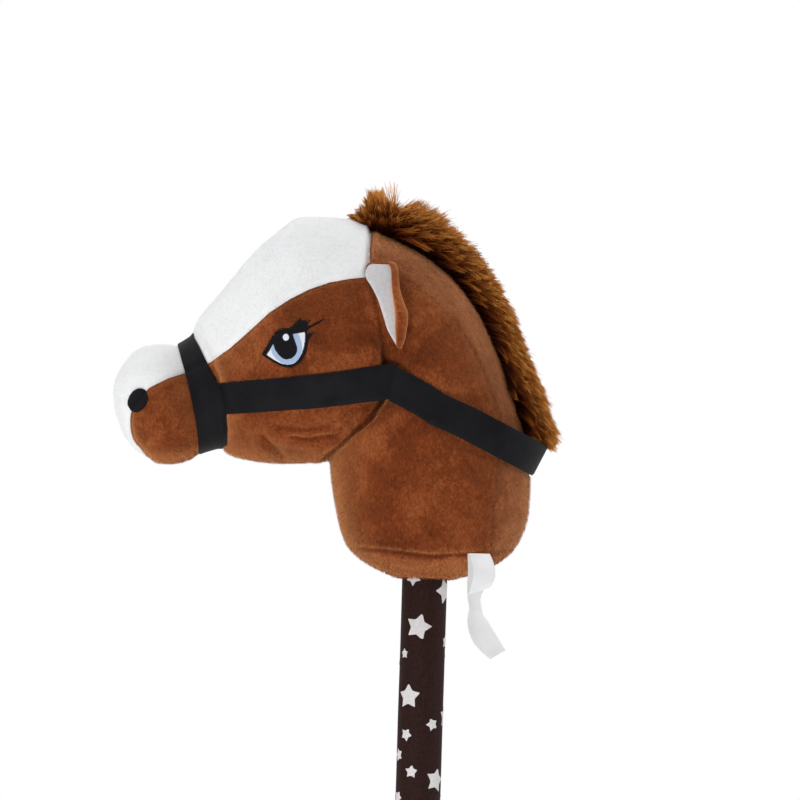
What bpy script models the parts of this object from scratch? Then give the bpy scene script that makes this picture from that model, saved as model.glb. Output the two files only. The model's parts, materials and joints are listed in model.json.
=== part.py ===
"""Hobby horse: a plush horse's head with its bridle on a printed stick, built as its separate pieces.

Units are metres, +Z is up and the stick's foot stands on the origin. The horse looks along -X and its
left side is towards -Y. Outlines of the sewn head are side-view points (x, z) in millimetres, with x
measured from the stick's axis and z from the underside of the neck.
"""

import math

import bmesh
import bpy
from mathutils import Vector
from mathutils.bvhtree import BVHTree

MM = 0.001
GAP = 0.3 * MM  # clearance between pieces that touch

# Stick
STICK_BELOW_NECK = 564 * MM
STICK_IN_NECK = 138 * MM
TUBE_RADIUS = 12.5 * MM
TUBE_WALL = 1.8 * MM
SLEEVE_WALL = 0.7 * MM
FOOT_CAP_HEIGHT = 30 * MM
FOOT_CAP_FLOOR = 4 * MM
FOOT_CAP_WALL = 1.9 * MM
FOOT_CAP_ROUNDING = 2.5 * MM
TOP_CAP_SPIGOT = 18 * MM
TOP_CAP_THICKNESS = 3 * MM
TOP_CAP_DOME = 3 * MM
TOP_CAP_RIM = 1.0 * MM
POCKET_WALL = 1.0 * MM
POCKET_START = 6 * MM  # above the underside of the neck
ROUND_STEPS = 32

# Cloth
PLUSH_THICKNESS = 2.2 * MM
STUFFING_GAP = 0.5 * MM
WEBBING_WIDTH = 20 * MM
WEBBING_THICKNESS = 1.2 * MM
EMBROIDERY_THICKNESS = 0.8 * MM
MANE_BACKING_THICKNESS = 1.0 * MM
EAR_CLOTH = 1.5 * MM
EAR_LINING = 1.0 * MM
LABEL_THICKNESS = 0.4 * MM

# Sewn body. Each ring: upper point x, z, lower point x, z, half width, how far its flanks lie behind it.
SIDES = 24
ROUNDNESS = 2.35
CREST_NARROWING = 0.12
HEAD_RINGS = (
    (-38, 208, -27.8, 96, 59.5, 0),
    (-48, 212, -31, 89, 60, 0),
    (-60, 213.5, -36.5, 82, 60.5, 0),
    (-72, 213.5, -44, 75, 60.5, 0),
    (-84, 212, -56, 69.5, 60, 0),
    (-96, 203, -70, 67, 58, 0),
    (-108, 192.5, -83, 66, 55.5, 1),
    (-119, 178.5, -95, 66, 52, 2),
    (-130, 164, -105, 67, 47.5, 4),
    (-139, 153, -114, 68.5, 42, 6),
    (-142.5, 146, -121, 71, 36, 8),
    (-143.5, 139.5, -124.5, 74.5, 30, 9),
    (-148, 136, -131, 73, 28.5, 6),
    (-152, 133.5, -138, 70.5, 28.5, 3),
    (-156, 134, -143, 66.5, 34, 1),
    (-162, 134.2, -151, 63.5, 39, 0),
    (-170, 133, -160, 63.2, 41, 0),
    (-178, 129, -168, 66, 39.5, 0),
    (-184, 122.5, -176, 71.5, 35, 0),
    (-188.5, 115, -183.5, 80.5, 26, 0),
    (-190.7, 107, -188.8, 93, 13, 0),
)
NECK_RINGS = (
    (17, 0, -17, 0, 17, 0),
    (37, 7, -33, 7, 34, 0),
    (48, 14, -42, 13, 42.5, 0),
    (55, 22, -47, 18, 48, 0),
    (60, 34, -52, 30, 52, 0),
    (61.4, 48, -56, 46, 55, 0),
    (61.1, 62, -58, 61, 57, 0),
    (59.4, 78, -58.5, 75, 58, 0),
    (55.5, 94, -56, 88, 58.7, 0),
    (49, 112, -47, 95, 59.2, 0),
    (42.5, 130, -37, 101, 59.5, 0),
    (33.5, 150, -31, 106, 59.5, 0),
    (20.5, 171, -28.8, 109.5, 59.5, 0),
    (4, 187, -28.3, 112.3, 59.5, 0),
    (-17, 199.5, -28.8, 114.5, 59, 0),
    (-38, 208, -29.6, 116.2, 59, 0),
)

SEWN_PARTS = (("head", HEAD_RINGS), ("neck", NECK_RINGS))

# Seams and outlines, in the side view
WHITE_SEAM = (
    (-38.2, 208), (-39, 195), (-39.3, 186), (-41.5, 178.2), (-50.5, 177), (-62.4, 174.5), (-74.3, 170),
    (-86.1, 163.6), (-97.8, 155.4), (-109.5, 143.9), (-121.1, 133.1), (-132.8, 124.3), (-147.1, 117.8),
    (-156.6, 114.5), (-162.5, 111.4), (-168.4, 108.2), (-178.7, 93.4), (-179.1, 88.6), (-178.7, 82.6),
    (-177, 76.7), (-173.2, 72.6), (-168.9, 67.3), (-165.2, 65),
)
BASE_SEAM = ((-46, 16), (-28.6, 15.9), (-15.4, 15.1), (2.7, 13), (20.7, 14.5), (38.6, 15.6), (55, 21))
GUSSET_SEAM = (
    (38.6, 15), (39.2, 35.4), (39.9, 53.5), (41.7, 72.7), (41.5, 90), (38, 106), (32, 122), (24, 138),
    (13, 153), (-1, 167), (-18, 178), (-36, 187),
)
NOSEBAND_FRONT = (
    (-152.3, 133.3), (-148.4, 121.4), (-145.7, 112.5), (-142.9, 101.8), (-140.2, 89.8), (-138.3, 70),
)
NOSEBAND_REAR = (
    (-143, 139.4), (-134.7, 124.8), (-127.1, 112.5), (-123.8, 104.2), (-121.8, 96.4), (-121.5, 78),
    (-124.3, 74),
)
NOSEBAND_OVERRUN = 12  # how far its cutter runs past the silhouette

# Cheek strap: front end at its upper and lower edge, rear end, height of its middle at both ends
STRAP_START = (-126.0, -120.4)
STRAP_END = -20
STRAP_LINE = (102.8, 115.6)
STRAP_TAUT_FROM = -62  # behind this the strap spans the hollow where cheek and neck meet
STRAP_STANDOFF = 0.5 * MM
STRAP_STEPS = 22
STRAP_LEVELS = 4

NOSTRIL = (-175.2, 100.5, 5.2, 7.6, 22)  # centre x, z, half width, half height, tilt in degrees

# Eye, in the side view
EYE_OUTLINE = (
    (-101.6, 130.4), (-96.9, 139.5), (-94, 144.1), (-91.8, 146.2), (-86.5, 146.9), (-82.7, 149.3),
    (-79.7, 152.7), (-74.2, 151.8), (-76.5, 149), (-64.4, 153.8), (-75, 145.3), (-68.5, 145.4),
    (-73.3, 139), (-75.6, 131.5), (-77.7, 126.3), (-82.4, 123.1), (-88, 122.9), (-93.4, 124.7),
    (-97.7, 127.2),
)
EYE_WHITE = (
    (-98.4, 130.6), (-95.2, 135.6), (-93, 139.5), (-79.6, 141.8), (-76.2, 140), (-76.6, 136), (-77.4, 131),
    (-79.4, 127.2), (-83, 124.7), (-88, 124.4), (-92.6, 126), (-96, 128.4),
)
IRIS = (-86.3, 134.6, 7.6, 9.4, 0)
PUPIL = (-86.6, 136.3, 4.9, 6.2, 0)
ROUND_OUTLINE_STEPS = 16

# Mane: point of the crest under the pile, tip of the pile above it, half width
MANE_RINGS = (
    (-46, 208, -50, 215, 8),
    (-41, 206, -44, 225, 14),
    (-33, 202.5, -31, 232, 18),
    (-22, 197.5, -18, 227, 19),
    (-8, 191, -2, 222, 19),
    (8, 181, 18, 207, 19),
    (19, 170.5, 33, 190, 19),
    (28, 157.5, 47, 168, 19),
    (36, 142.5, 57, 143, 19),
    (42, 128, 63, 126, 19),
    (47.5, 112, 68, 110, 18),
    (52.5, 97, 69, 97, 15),
    (54.5, 90, 64, 87.5, 9),
)
MANE_SIDES = 14
MANE_BACKING_INSET = 1.5 * MM

# Ear, hanging flat along the head: height, front edge, rear bend, free edge of the folded-over part
EAR_LEVELS = (
    (187.5, -38.5, -24.5, -30),
    (183, -41, -21.5, -26.5),
    (172.5, -37.3, -19.5, -25.3),
    (162, -32.5, -15.8, -24.2),
    (152, -28.5, -14.5, -23.2),
    (143, -25.2, -16, -22),
    (137.5, -22, -18.6, -20.8),
)
EAR_DEPTH = 7.5  # how far the fold stands out at its fullest
EAR_FOLD_START = 0.22  # where the ear's ends lie on the half wave that its depth follows
EAR_FOLD_SPAN = 0.70
EAR_LEAST_FOLD = 0.6
EAR_SEAT_STEPS = 8
EAR_SEAT_BAND = 3
EAR_BEND_STEPS = 5

# Rein
REIN_PIVOT = (-16, 112)
REIN_SLOPE = 25.9  # degrees down towards the back
REIN_HALF_WIDTH = 60.45 * MM
REIN_STRAIGHT = 15 * MM
REIN_REACH = 91.4 * MM
REIN_FRONT = -28  # its front end is cut upright
REIN_BEND_STEPS = 20

# Labels: centre x, z, half width and tilt in degrees, from the seam down
SHORT_LABEL = ((32.5, 14, 6.3, 0), (34.5, 6, 6.4, 8), (34.6, -1, 6.2, 12), (33.4, -8, 5.8, 16))
LONG_LABEL = (
    (31.5, 14, 6.0, 0), (32.5, 6, 6.0, 6), (31.5, -2, 6.0, 2), (30, -10, 5.6, -8), (30, -19, 5.4, -20),
    (32, -28, 5.8, -36), (37, -36, 6.2, -44), (44, -44, 6.4, -46),
)
SHORT_LABEL_LEAN = 0.05  # how far it stands off the long one for each unit it hangs
LABEL_SEAT_BAND = 0.5  # height above the seam that the labels clear when they swing up

PLUSH_BROWN = (0.31, 0.075, 0.022)
PLUSH_WHITE = (0.80, 0.81, 0.82)
BLACK_WEBBING = (0.012, 0.012, 0.014)


def clear_scene():
    for obj in list(bpy.data.objects):
        bpy.data.objects.remove(obj, do_unlink=True)


def material(name, colour, roughness, metallic=0.0):
    made = bpy.data.materials.get(name) or bpy.data.materials.new(name)
    made.use_nodes = True
    shader = made.node_tree.nodes["Principled BSDF"]
    shader.inputs["Base Color"].default_value = (*colour, 1.0)
    shader.inputs["Roughness"].default_value = roughness
    shader.inputs["Metallic"].default_value = metallic
    return made


def world_point(x, z, y=0.0):
    """The place of a side-view point in millimetres; y is in metres already."""
    return Vector((x * MM, y, STICK_BELOW_NECK + z * MM))


def mesh_object(name, points, faces, finish=None, smooth=True):
    mesh = bpy.data.meshes.new(name)
    mesh.from_pydata([tuple(point) for point in points], [], faces)
    shape = bmesh.new()
    shape.from_mesh(mesh)
    bmesh.ops.recalc_face_normals(shape, faces=shape.faces)
    shape.to_mesh(mesh)
    shape.free()
    if smooth:
        mesh.shade_smooth()
        mesh.set_sharp_from_angle(angle=math.radians(40))
    obj = bpy.data.objects.new(name, mesh)
    bpy.context.scene.collection.objects.link(obj)
    if finish:
        mesh.materials.append(finish)
    return obj


def signed_power(value, power):
    return math.copysign(abs(value) ** power, value)


def ring_points(ring):
    """One rounded cross-section of the sewn body, flatter than an ellipse and narrower at its crest."""
    top_x, top_z, low_x, low_z, half_width, behind = ring
    centre = world_point((top_x + low_x) / 2, (top_z + low_z) / 2)
    up = world_point(top_x, top_z) - centre
    along = Vector((-up.z, 0, up.x)).normalized()
    points = []
    for step in range(SIDES):
        angle = 2 * math.pi * (step + 0.5) / SIDES
        rise = signed_power(math.cos(angle), 2 / ROUNDNESS)
        spread = signed_power(math.sin(angle), 2 / ROUNDNESS)
        width = half_width * MM * (1 - CREST_NARROWING * rise)
        flank = -along * behind * MM * spread * spread
        points.append(centre + up * rise + Vector((0, width * spread, 0)) + flank)
    return points


def tube_faces(rings, sides):
    faces = []
    for ring in range(rings - 1):
        for side in range(sides):
            after = (side + 1) % sides
            low, high = ring * sides, (ring + 1) * sides
            faces.append((low + side, low + after, high + after, high + side))
    faces.append(tuple(range(sides)))
    faces.append(tuple((rings - 1) * sides + side for side in range(sides)))
    return faces


def grown_points(points, faces, distance):
    """The closed form's points, moved along its normals by a distance."""
    mesh = bpy.data.meshes.new("form")
    mesh.from_pydata([tuple(point) for point in points], [], faces)
    shape = bmesh.new()
    shape.from_mesh(mesh)
    bpy.data.meshes.remove(mesh)
    bmesh.ops.recalc_face_normals(shape, faces=shape.faces)
    shape.normal_update()
    moved = [vertex.co + vertex.normal * distance * vertex.calc_shell_factor() for vertex in shape.verts]
    shape.free()
    return moved


def sewn_form(name, rings, distance=0.0, open_by=0.0, open_ring=0):
    """A helper solid of the sewn body grown by a distance; open_by lengthens it past its open end."""
    points = [point for ring in rings for point in ring_points(ring)]
    faces = tube_faces(len(rings), SIDES)
    points = grown_points(points, faces, distance)
    if open_by:
        first, inner = (0, SIDES) if open_ring == 0 else ((len(rings) - 1) * SIDES, (len(rings) - 2) * SIDES)
        top_x, top_z, low_x, low_z = rings[open_ring][:4]
        outward = Vector((top_z - low_z, 0, low_x - top_x)).normalized()
        if open_ring != 0:
            outward = -outward
        for side in range(SIDES):
            run = points[first + side] - points[inner + side]
            along = run.dot(outward)
            step = run / along if along > run.length / 2 else outward
            points[first + side] = points[first + side] + step * open_by
    return hide(mesh_object(name, points, faces))


def set_origin(obj, point):
    """Puts the origin of a moving piece on the axis that it turns about, with its shape left in place."""
    for vertex in obj.data.vertices:
        vertex.co -= point
    obj.location = point


def hide(obj):
    obj.hide_render = True
    obj.display_type = "WIRE"
    return obj


def prism(name, outline, near=-0.2, far=0.2):
    """A helper solid: a side-view outline in millimetres carried across from y = near to y = far."""
    points = [world_point(x, z, near) for x, z in outline] + [world_point(x, z, far) for x, z in outline]
    count = len(outline)
    faces = [(step, (step + 1) % count, count + (step + 1) % count, count + step) for step in range(count)]
    faces += [tuple(range(count)), tuple(range(count, 2 * count))]
    return hide(mesh_object(name, points, faces, smooth=False))


def widened(outline, distance=GAP):
    """The outline grown by a distance in metres."""
    count = len(outline)
    turn = sum(a[0] * b[1] - b[0] * a[1] for a, b in zip(outline, outline[1:] + outline[:1]))
    outwards = math.copysign(1, turn)
    moved = []
    for index, point in enumerate(outline):
        before = Vector(point) - Vector(outline[index - 1])
        after = Vector(outline[(index + 1) % count]) - Vector(point)
        normals = [Vector((edge.y, -edge.x)).normalized() * outwards for edge in (before, after)]
        middle = (normals[0] + normals[1]).normalized()
        reach = distance / MM / max(middle.dot(normals[0]), 0.35)
        moved.append(tuple(Vector(point) + middle * reach))
    return moved


def oval(shape):
    centre_x, centre_z, half_width, half_height, tilt = shape
    turn = math.radians(tilt)
    points = []
    for step in range(ROUND_OUTLINE_STEPS):
        angle = 2 * math.pi * step / ROUND_OUTLINE_STEPS
        across, up = half_width * math.cos(angle), half_height * math.sin(angle)
        points.append((
            centre_x + across * math.cos(turn) + up * math.sin(turn),
            centre_z - across * math.sin(turn) + up * math.cos(turn),
        ))
    return points


def combined(name, base, steps, finish=None):
    """A new object from a base solid and a list of (operation, other solid), worked out at once."""
    obj = bpy.data.objects.new(name, base.data.copy())
    bpy.context.scene.collection.objects.link(obj)
    for number, (operation, other) in enumerate(steps):
        cut = obj.modifiers.new(f"step {number}", "BOOLEAN")
        cut.operation = operation
        cut.object = other
        cut.solver = "EXACT"
    graph = bpy.context.evaluated_depsgraph_get()
    mesh = bpy.data.meshes.new_from_object(obj.evaluated_get(graph))
    obj.modifiers.clear()
    obj.data = mesh
    mesh.materials.clear()
    if finish:
        mesh.materials.append(finish)
        mesh.shade_smooth()
        mesh.set_sharp_from_angle(angle=math.radians(40))
    else:
        hide(obj)
    return obj


def turned(name, profile, finish, steps=ROUND_STEPS):
    """A solid of revolution about the stick's axis from a closed profile of (radius, height)."""
    points, count = [], len(profile)
    for step in range(steps):
        angle = 2 * math.pi * step / steps
        points += [Vector((r * math.cos(angle), r * math.sin(angle), z)) for r, z in profile]
    faces = []
    for step in range(steps):
        after = (step + 1) % steps
        for index in range(count):
            following = (index + 1) % count
            near, far = step * count, after * count
            faces.append((near + index, near + following, far + following, far + index))
    return mesh_object(name, points, faces, finish)


def turned_plug(name, profile, finish, steps=ROUND_STEPS):
    """Like turned, for a profile that starts and ends on the axis."""
    inner = profile[1:-1]
    count = len(inner)
    points = []
    for step in range(steps):
        angle = 2 * math.pi * step / steps
        points += [Vector((r * math.cos(angle), r * math.sin(angle), z)) for r, z in inner]
    points += [Vector((0, 0, profile[0][1])), Vector((0, 0, profile[-1][1]))]
    first, last = len(points) - 2, len(points) - 1
    faces = []
    for step in range(steps):
        after = (step + 1) % steps
        near, far = step * count, after * count
        for index in range(count - 1):
            faces.append((near + index, near + index + 1, far + index + 1, far + index))
        faces.append((first, near, far))
        faces.append((last, far + count - 1, near + count - 1))
    return mesh_object(name, points, faces, finish)


def ribbon_solid(name, near_rows, far_rows, finish):
    """A thin closed sheet between two grids of points of the same size."""
    rows, columns = len(near_rows), len(near_rows[0])
    points = [point for row in near_rows for point in row] + [point for row in far_rows for point in row]
    offset = rows * columns
    faces = []
    for row in range(rows - 1):
        for column in range(columns - 1):
            a, b = row * columns + column, row * columns + column + 1
            c, d = b + columns, a + columns
            faces += [(a, b, c, d), (offset + a, offset + d, offset + c, offset + b)]
    rim = list(range(columns))
    rim += [row * columns + columns - 1 for row in range(1, rows)]
    rim += [(rows - 1) * columns + column for column in range(columns - 2, -1, -1)]
    rim += [row * columns for row in range(rows - 2, 0, -1)]
    for step, index in enumerate(rim):
        following = rim[(step + 1) % len(rim)]
        faces.append((index, following, offset + following, offset + index))
    return mesh_object(name, points, faces, finish)


def make_stick():
    plastic = material("tube_plastic", (0.55, 0.55, 0.53), 0.45)
    print_cloth = material("sleeve_cloth", (0.020, 0.008, 0.008), 0.6)
    rubber = material("cap_rubber", (0.02, 0.02, 0.02), 0.7)
    cap_plastic = material("top_cap_plastic", (0.6, 0.6, 0.58), 0.4)
    pocket_cloth = material("pocket_cloth", (0.7, 0.7, 0.68), 0.9)
    top = STICK_BELOW_NECK + STICK_IN_NECK
    bore = TUBE_RADIUS - TUBE_WALL
    low = FOOT_CAP_FLOOR + GAP
    turned("stick_tube", [(bore, low), (TUBE_RADIUS, low), (TUBE_RADIUS, top), (bore, top)], plastic)

    inner, outer = TUBE_RADIUS + GAP, TUBE_RADIUS + GAP + SLEEVE_WALL
    low = FOOT_CAP_HEIGHT + GAP
    turned("stick_sleeve", [(inner, low), (outer, low), (outer, top), (inner, top)], print_cloth)

    cap_outer = TUBE_RADIUS + GAP + FOOT_CAP_WALL
    rounding = [
        (cap_outer - FOOT_CAP_ROUNDING * (1 - math.sin(turn)), FOOT_CAP_ROUNDING * (1 - math.cos(turn)))
        for turn in (0, math.pi / 6, math.pi / 3, math.pi / 2)
    ]
    turned_plug("foot_cap", [
        (0, 0), *rounding, (cap_outer, FOOT_CAP_HEIGHT), (inner, FOOT_CAP_HEIGHT), (inner, FOOT_CAP_FLOOR),
        (0, FOOT_CAP_FLOOR),
    ], rubber)

    rim = outer
    seat = top + GAP
    dome = [
        (rim * math.cos(turn), seat + TOP_CAP_THICKNESS + TOP_CAP_DOME * math.sin(turn))
        for turn in (0, math.pi / 6, math.pi / 3)
    ]
    spigot = bore - GAP
    turned_plug("stick_top_cap", [
        (0, seat - TOP_CAP_SPIGOT), (spigot - TOP_CAP_RIM, seat - TOP_CAP_SPIGOT),
        (spigot, seat - TOP_CAP_SPIGOT + TOP_CAP_RIM), (spigot, seat), (rim, seat), *dome,
        (0, seat + TOP_CAP_THICKNESS + TOP_CAP_DOME),
    ], cap_plastic)

    inner = outer + GAP
    roof = seat + TOP_CAP_THICKNESS + TOP_CAP_DOME + GAP
    low = STICK_BELOW_NECK + POCKET_START
    cover = [
        (0, roof), (inner, roof), (inner, low), (inner + POCKET_WALL, low),
        (inner + POCKET_WALL, roof + POCKET_WALL), (0, roof + POCKET_WALL),
    ]
    turned_plug("stick_pocket", cover, pocket_cloth)
    return inner + POCKET_WALL, roof + POCKET_WALL


def stick_cutter(name, radius, low, high):
    profile = [(0, low), (radius, low), (radius, high), (0, high)]
    return hide(turned_plug(name, profile, None))


def half_space(name, side):
    """Everything on one side of the middle plane, short of it by half the clearance."""
    outline = [(-250, -50), (150, -50), (150, 300), (-250, 300)]
    near, far = sorted((side * GAP / 2, side * 0.2))
    return prism(name, outline, near, far)


def make_skins(pocket_radius, pocket_top):
    """The stuffing and the sewn panels of head and neck."""
    brown = material("brown_plush", PLUSH_BROWN, 0.9)
    white = material("white_plush", PLUSH_WHITE, 0.9)
    fibre = material("polyester_stuffing", (0.85, 0.85, 0.84), 1.0)
    inside = -PLUSH_THICKNESS
    head = sewn_form("form_head", HEAD_RINGS)
    neck = sewn_form("form_neck", NECK_RINGS)
    neck_clear = sewn_form("form_neck_clear", NECK_RINGS, GAP)
    neck_room = sewn_form("form_neck_room", NECK_RINGS, GAP + STUFFING_GAP)
    head_hollow = sewn_form("form_head_hollow", HEAD_RINGS, inside, 2 * PLUSH_THICKNESS, 0)
    neck_hollow = sewn_form("form_neck_hollow", NECK_RINGS, inside, 2 * PLUSH_THICKNESS, -1)
    head_core = sewn_form("form_head_core", HEAD_RINGS, inside - STUFFING_GAP)
    neck_core = sewn_form("form_neck_core", NECK_RINGS, inside - STUFFING_GAP)
    floor = STICK_BELOW_NECK - 5 * MM
    stick_hole = stick_cutter("form_stick_hole", TUBE_RADIUS + SLEEVE_WALL + 2 * GAP, floor, floor + 20 * MM)
    pocket_hole = stick_cutter("form_pocket_hole", pocket_radius + GAP, floor, pocket_top + GAP)

    combined("neck_stuffing", neck_core, [("DIFFERENCE", pocket_hole)], fibre)
    combined("head_stuffing", head_core, [("DIFFERENCE", neck_room)], fibre)

    head_skin = combined("form_head_skin", head, [("DIFFERENCE", head_hollow), ("DIFFERENCE", neck_clear)])
    neck_skin = combined("form_neck_skin", neck, [("DIFFERENCE", neck_hollow), ("DIFFERENCE", stick_hole)])
    far_x, far_z = 240, 260
    white_outline = [(-30, far_z), (-30, 209), *WHITE_SEAM, (-163, 30), (-far_x, 30), (-far_x, far_z)]
    base_outline = [(-90, -20), (-90, 16), *BASE_SEAM, (90, 24), (90, -20)]
    gusset_outline = [(38.6, -20), *GUSSET_SEAM, (-60, 196), (-60, far_z), (120, far_z), (120, -20)]
    white_zone = prism("form_white_zone", white_outline)
    white_clear = prism("form_white_clear", widened(white_outline))
    base_zone = prism("form_base_zone", base_outline)
    base_clear = prism("form_base_clear", widened(base_outline))
    gusset_zone = prism("form_gusset_zone", gusset_outline)
    gusset_clear = prism("form_gusset_clear", widened(gusset_outline))
    combined("white_face_panel", head_skin, [("INTERSECT", white_zone)], white)
    combined("neck_base_panel", neck_skin, [("INTERSECT", base_zone)], brown)
    combined("neck_back_gusset", neck_skin, [("INTERSECT", gusset_zone), ("DIFFERENCE", base_clear)], brown)
    for side, word in ((-1, "left"), (1, "right")):
        half = half_space("form_half_" + word, side)
        combined("cheek_panel_" + word, head_skin, [("DIFFERENCE", white_clear), ("INTERSECT", half)], brown)
        combined("neck_panel_" + word, neck_skin, [
            ("DIFFERENCE", gusset_clear), ("DIFFERENCE", base_clear), ("INTERSECT", half),
        ], brown)


def side_prism(name, outline, side):
    near, far = sorted((side * 5 * MM, side * 0.2))
    return prism(name, outline, near, far)


def make_embroidery():
    """The eyes and nostrils: stitched patches that follow the plush under them."""
    black = material("black_thread", (0.012, 0.012, 0.015), 0.5)
    white = material("white_thread", (0.85, 0.86, 0.88), 0.5)
    blue = material("blue_thread", (0.32, 0.46, 0.68), 0.5)
    over = sewn_form("form_stitch_over", HEAD_RINGS, GAP + EMBROIDERY_THICKNESS)
    under = sewn_form("form_stitch_under", HEAD_RINGS, GAP)
    layer = combined("form_stitch_layer", over, [("DIFFERENCE", under)])
    outlines = {
        "outline": list(EYE_OUTLINE), "white": list(EYE_WHITE), "iris": oval(IRIS), "pupil": oval(PUPIL),
    }
    nested = (
        ("outline", "white", black),
        ("white", "iris", white),
        ("iris", "pupil", blue),
        ("pupil", None, black),
    )
    for side, word in ((-1, "left"), (1, "right")):
        for part, hole, thread in nested:
            zone = side_prism(f"form_eye_{part}_{word}", outlines[part], side)
            steps = [("INTERSECT", zone)]
            if part in ("iris", "pupil"):
                opening = side_prism(f"form_eye_{part}_opening_{word}", outlines["white"], side)
                steps.append(("INTERSECT", opening))
            if hole:
                cut = side_prism(f"form_eye_{part}_hole_{word}", widened(outlines[hole]), side)
                steps.append(("DIFFERENCE", cut))
            combined(f"eye_{part}_{word}", layer, steps, thread)
        zone = side_prism("form_nostril_" + word, oval(NOSTRIL), side)
        combined("nostril_" + word, layer, [("INTERSECT", zone)], black)


def make_mane():
    backing_cloth = material("mane_backing_cloth", (0.10, 0.035, 0.012), 0.9)
    pile = material("mane_pile", (0.30, 0.12, 0.03), 0.9)
    backing_top = GAP + MANE_BACKING_THICKNESS
    clear = [sewn_form("form_mane_clear_" + word, rings, backing_top + GAP) for word, rings in SEWN_PARTS]
    under = [sewn_form("form_mane_under_" + word, rings, GAP) for word, rings in SEWN_PARTS]
    over = sewn_form("form_mane_over", NECK_RINGS, backing_top)

    def tube(name, narrower):
        points = []
        for crest_x, crest_z, tip_x, tip_z, half_width in MANE_RINGS:
            crest = world_point(crest_x, crest_z)
            out = world_point(tip_x, tip_z) - crest
            for step in range(MANE_SIDES):
                angle = 2 * math.pi * step / MANE_SIDES
                across = (half_width * MM - narrower) * math.sin(angle)
                points.append(crest + out * math.cos(angle) + Vector((0, across, 0)))
        return hide(mesh_object(name, points, tube_faces(len(MANE_RINGS), MANE_SIDES)))

    pile_tube = tube("form_mane_tube", 0)
    backing_tube = tube("form_mane_backing_tube", MANE_BACKING_INSET)
    combined("mane_pile", pile_tube, [("DIFFERENCE", form) for form in clear], pile)
    steps = [("INTERSECT", backing_tube)] + [("DIFFERENCE", form) for form in under]
    combined("mane_backing", over, steps, backing_cloth)


def plush_reach(name):
    """A function of a side-view point that says how far out the plush surface lies there, in metres."""
    forms = [sewn_form(f"{name}_{word}", rings) for word, rings in SEWN_PARTS]
    graph = bpy.context.evaluated_depsgraph_get()
    trees = [BVHTree.FromObject(form, graph) for form in forms]

    def reach(x, z):
        hits = [tree.ray_cast(world_point(x, z, -1.0), Vector((0, 1, 0)))[0] for tree in trees]
        return max(-hit.y if hit else 0.0 for hit in hits)

    return reach


def ear_section(level, side, lining, seat):
    """The two faces of one cloth across the ear: flat against the head, bent out and folded forward."""
    height, front, bend, edge = level
    top, tip = EAR_LEVELS[0][0], EAR_LEVELS[-1][0]
    down = (top - height) / (top - tip)
    depth = EAR_DEPTH * math.sin(math.pi * (EAR_FOLD_START + EAR_FOLD_SPAN * down))
    radius = depth / 2
    path = [(front, 0), ((front + bend) / 2, 0), (bend - radius, 0)]
    normals = [(0, 1), (0, 1), (0, 1)]
    for step in range(1, EAR_BEND_STEPS):
        turn = math.pi * step / EAR_BEND_STEPS
        path.append((bend - radius + radius * math.sin(turn), radius * (1 - math.cos(turn))))
        normals.append((-math.sin(turn), math.cos(turn)))
    path += [(bend - radius, depth), (min(edge, bend - radius - EAR_LEAST_FOLD), depth)]
    normals += [(0, -1), (0, -1)]
    if lining:
        spans = (GAP, GAP + EAR_LINING)
    else:
        spans = (0, -EAR_CLOTH)
    faces = []
    for span in spans:
        row = []
        for (x, out), (across, outwards) in zip(path, normals):
            spot = world_point(x, height) + Vector((across * span, 0, 0))
            spot.y = side * (seat + EAR_CLOTH + out * MM + outwards * span)
            row.append(spot)
        faces.append(row)
    return faces


def make_ears():
    """Each ear follows the plush that it hangs against, a clearance outside it."""
    brown = material("brown_plush", PLUSH_BROWN, 0.9)
    white = material("white_plush", PLUSH_WHITE, 0.9)
    reach = plush_reach("form_ear_rest")
    seats = []
    for height, front, bend, _ in EAR_LEVELS:
        across = [front + (bend - front) * step / EAR_SEAT_STEPS for step in range(EAR_SEAT_STEPS + 1)]
        heights = (height - EAR_SEAT_BAND, height, height + EAR_SEAT_BAND)
        seats.append(max(reach(x, z) for x in across for z in heights) + 2 * GAP)
    for side, word in ((-1, "left"), (1, "right")):
        for lining, name, finish in ((False, "ear_outer_", brown), (True, "ear_lining_", white)):
            sections = [ear_section(level, side, lining, seat) for level, seat in zip(EAR_LEVELS, seats)]
            near = [section[0] for section in sections]
            far = [section[1] for section in sections]
            ear = ribbon_solid(name + word, near, far, finish)
            set_origin(ear, world_point(0, EAR_LEVELS[0][0], side * seats[0]))


def make_bridle():
    webbing = material("black_webbing", BLACK_WEBBING, 0.45)
    over = sewn_form("form_noseband_over", HEAD_RINGS, GAP + WEBBING_THICKNESS)
    under = sewn_form("form_noseband_under", HEAD_RINGS, GAP)
    band_outline = widened_ends(list(NOSEBAND_FRONT)) + widened_ends(list(NOSEBAND_REAR))[::-1]
    band_zone = prism("form_noseband_zone", band_outline)
    combined("noseband", over, [("INTERSECT", band_zone), ("DIFFERENCE", under)], webbing)
    under_neck = sewn_form("form_strap_under_neck", NECK_RINGS, GAP)
    reach = plush_reach("form_strap_rest")
    for side, word in ((-1, "left"), (1, "right")):
        strap = hide(cheek_strap("form_cheek_strap_" + word, side, reach))
        combined("cheek_strap_" + word, strap, [("DIFFERENCE", under), ("DIFFERENCE", under_neck)], webbing)
    make_rein(webbing)


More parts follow.
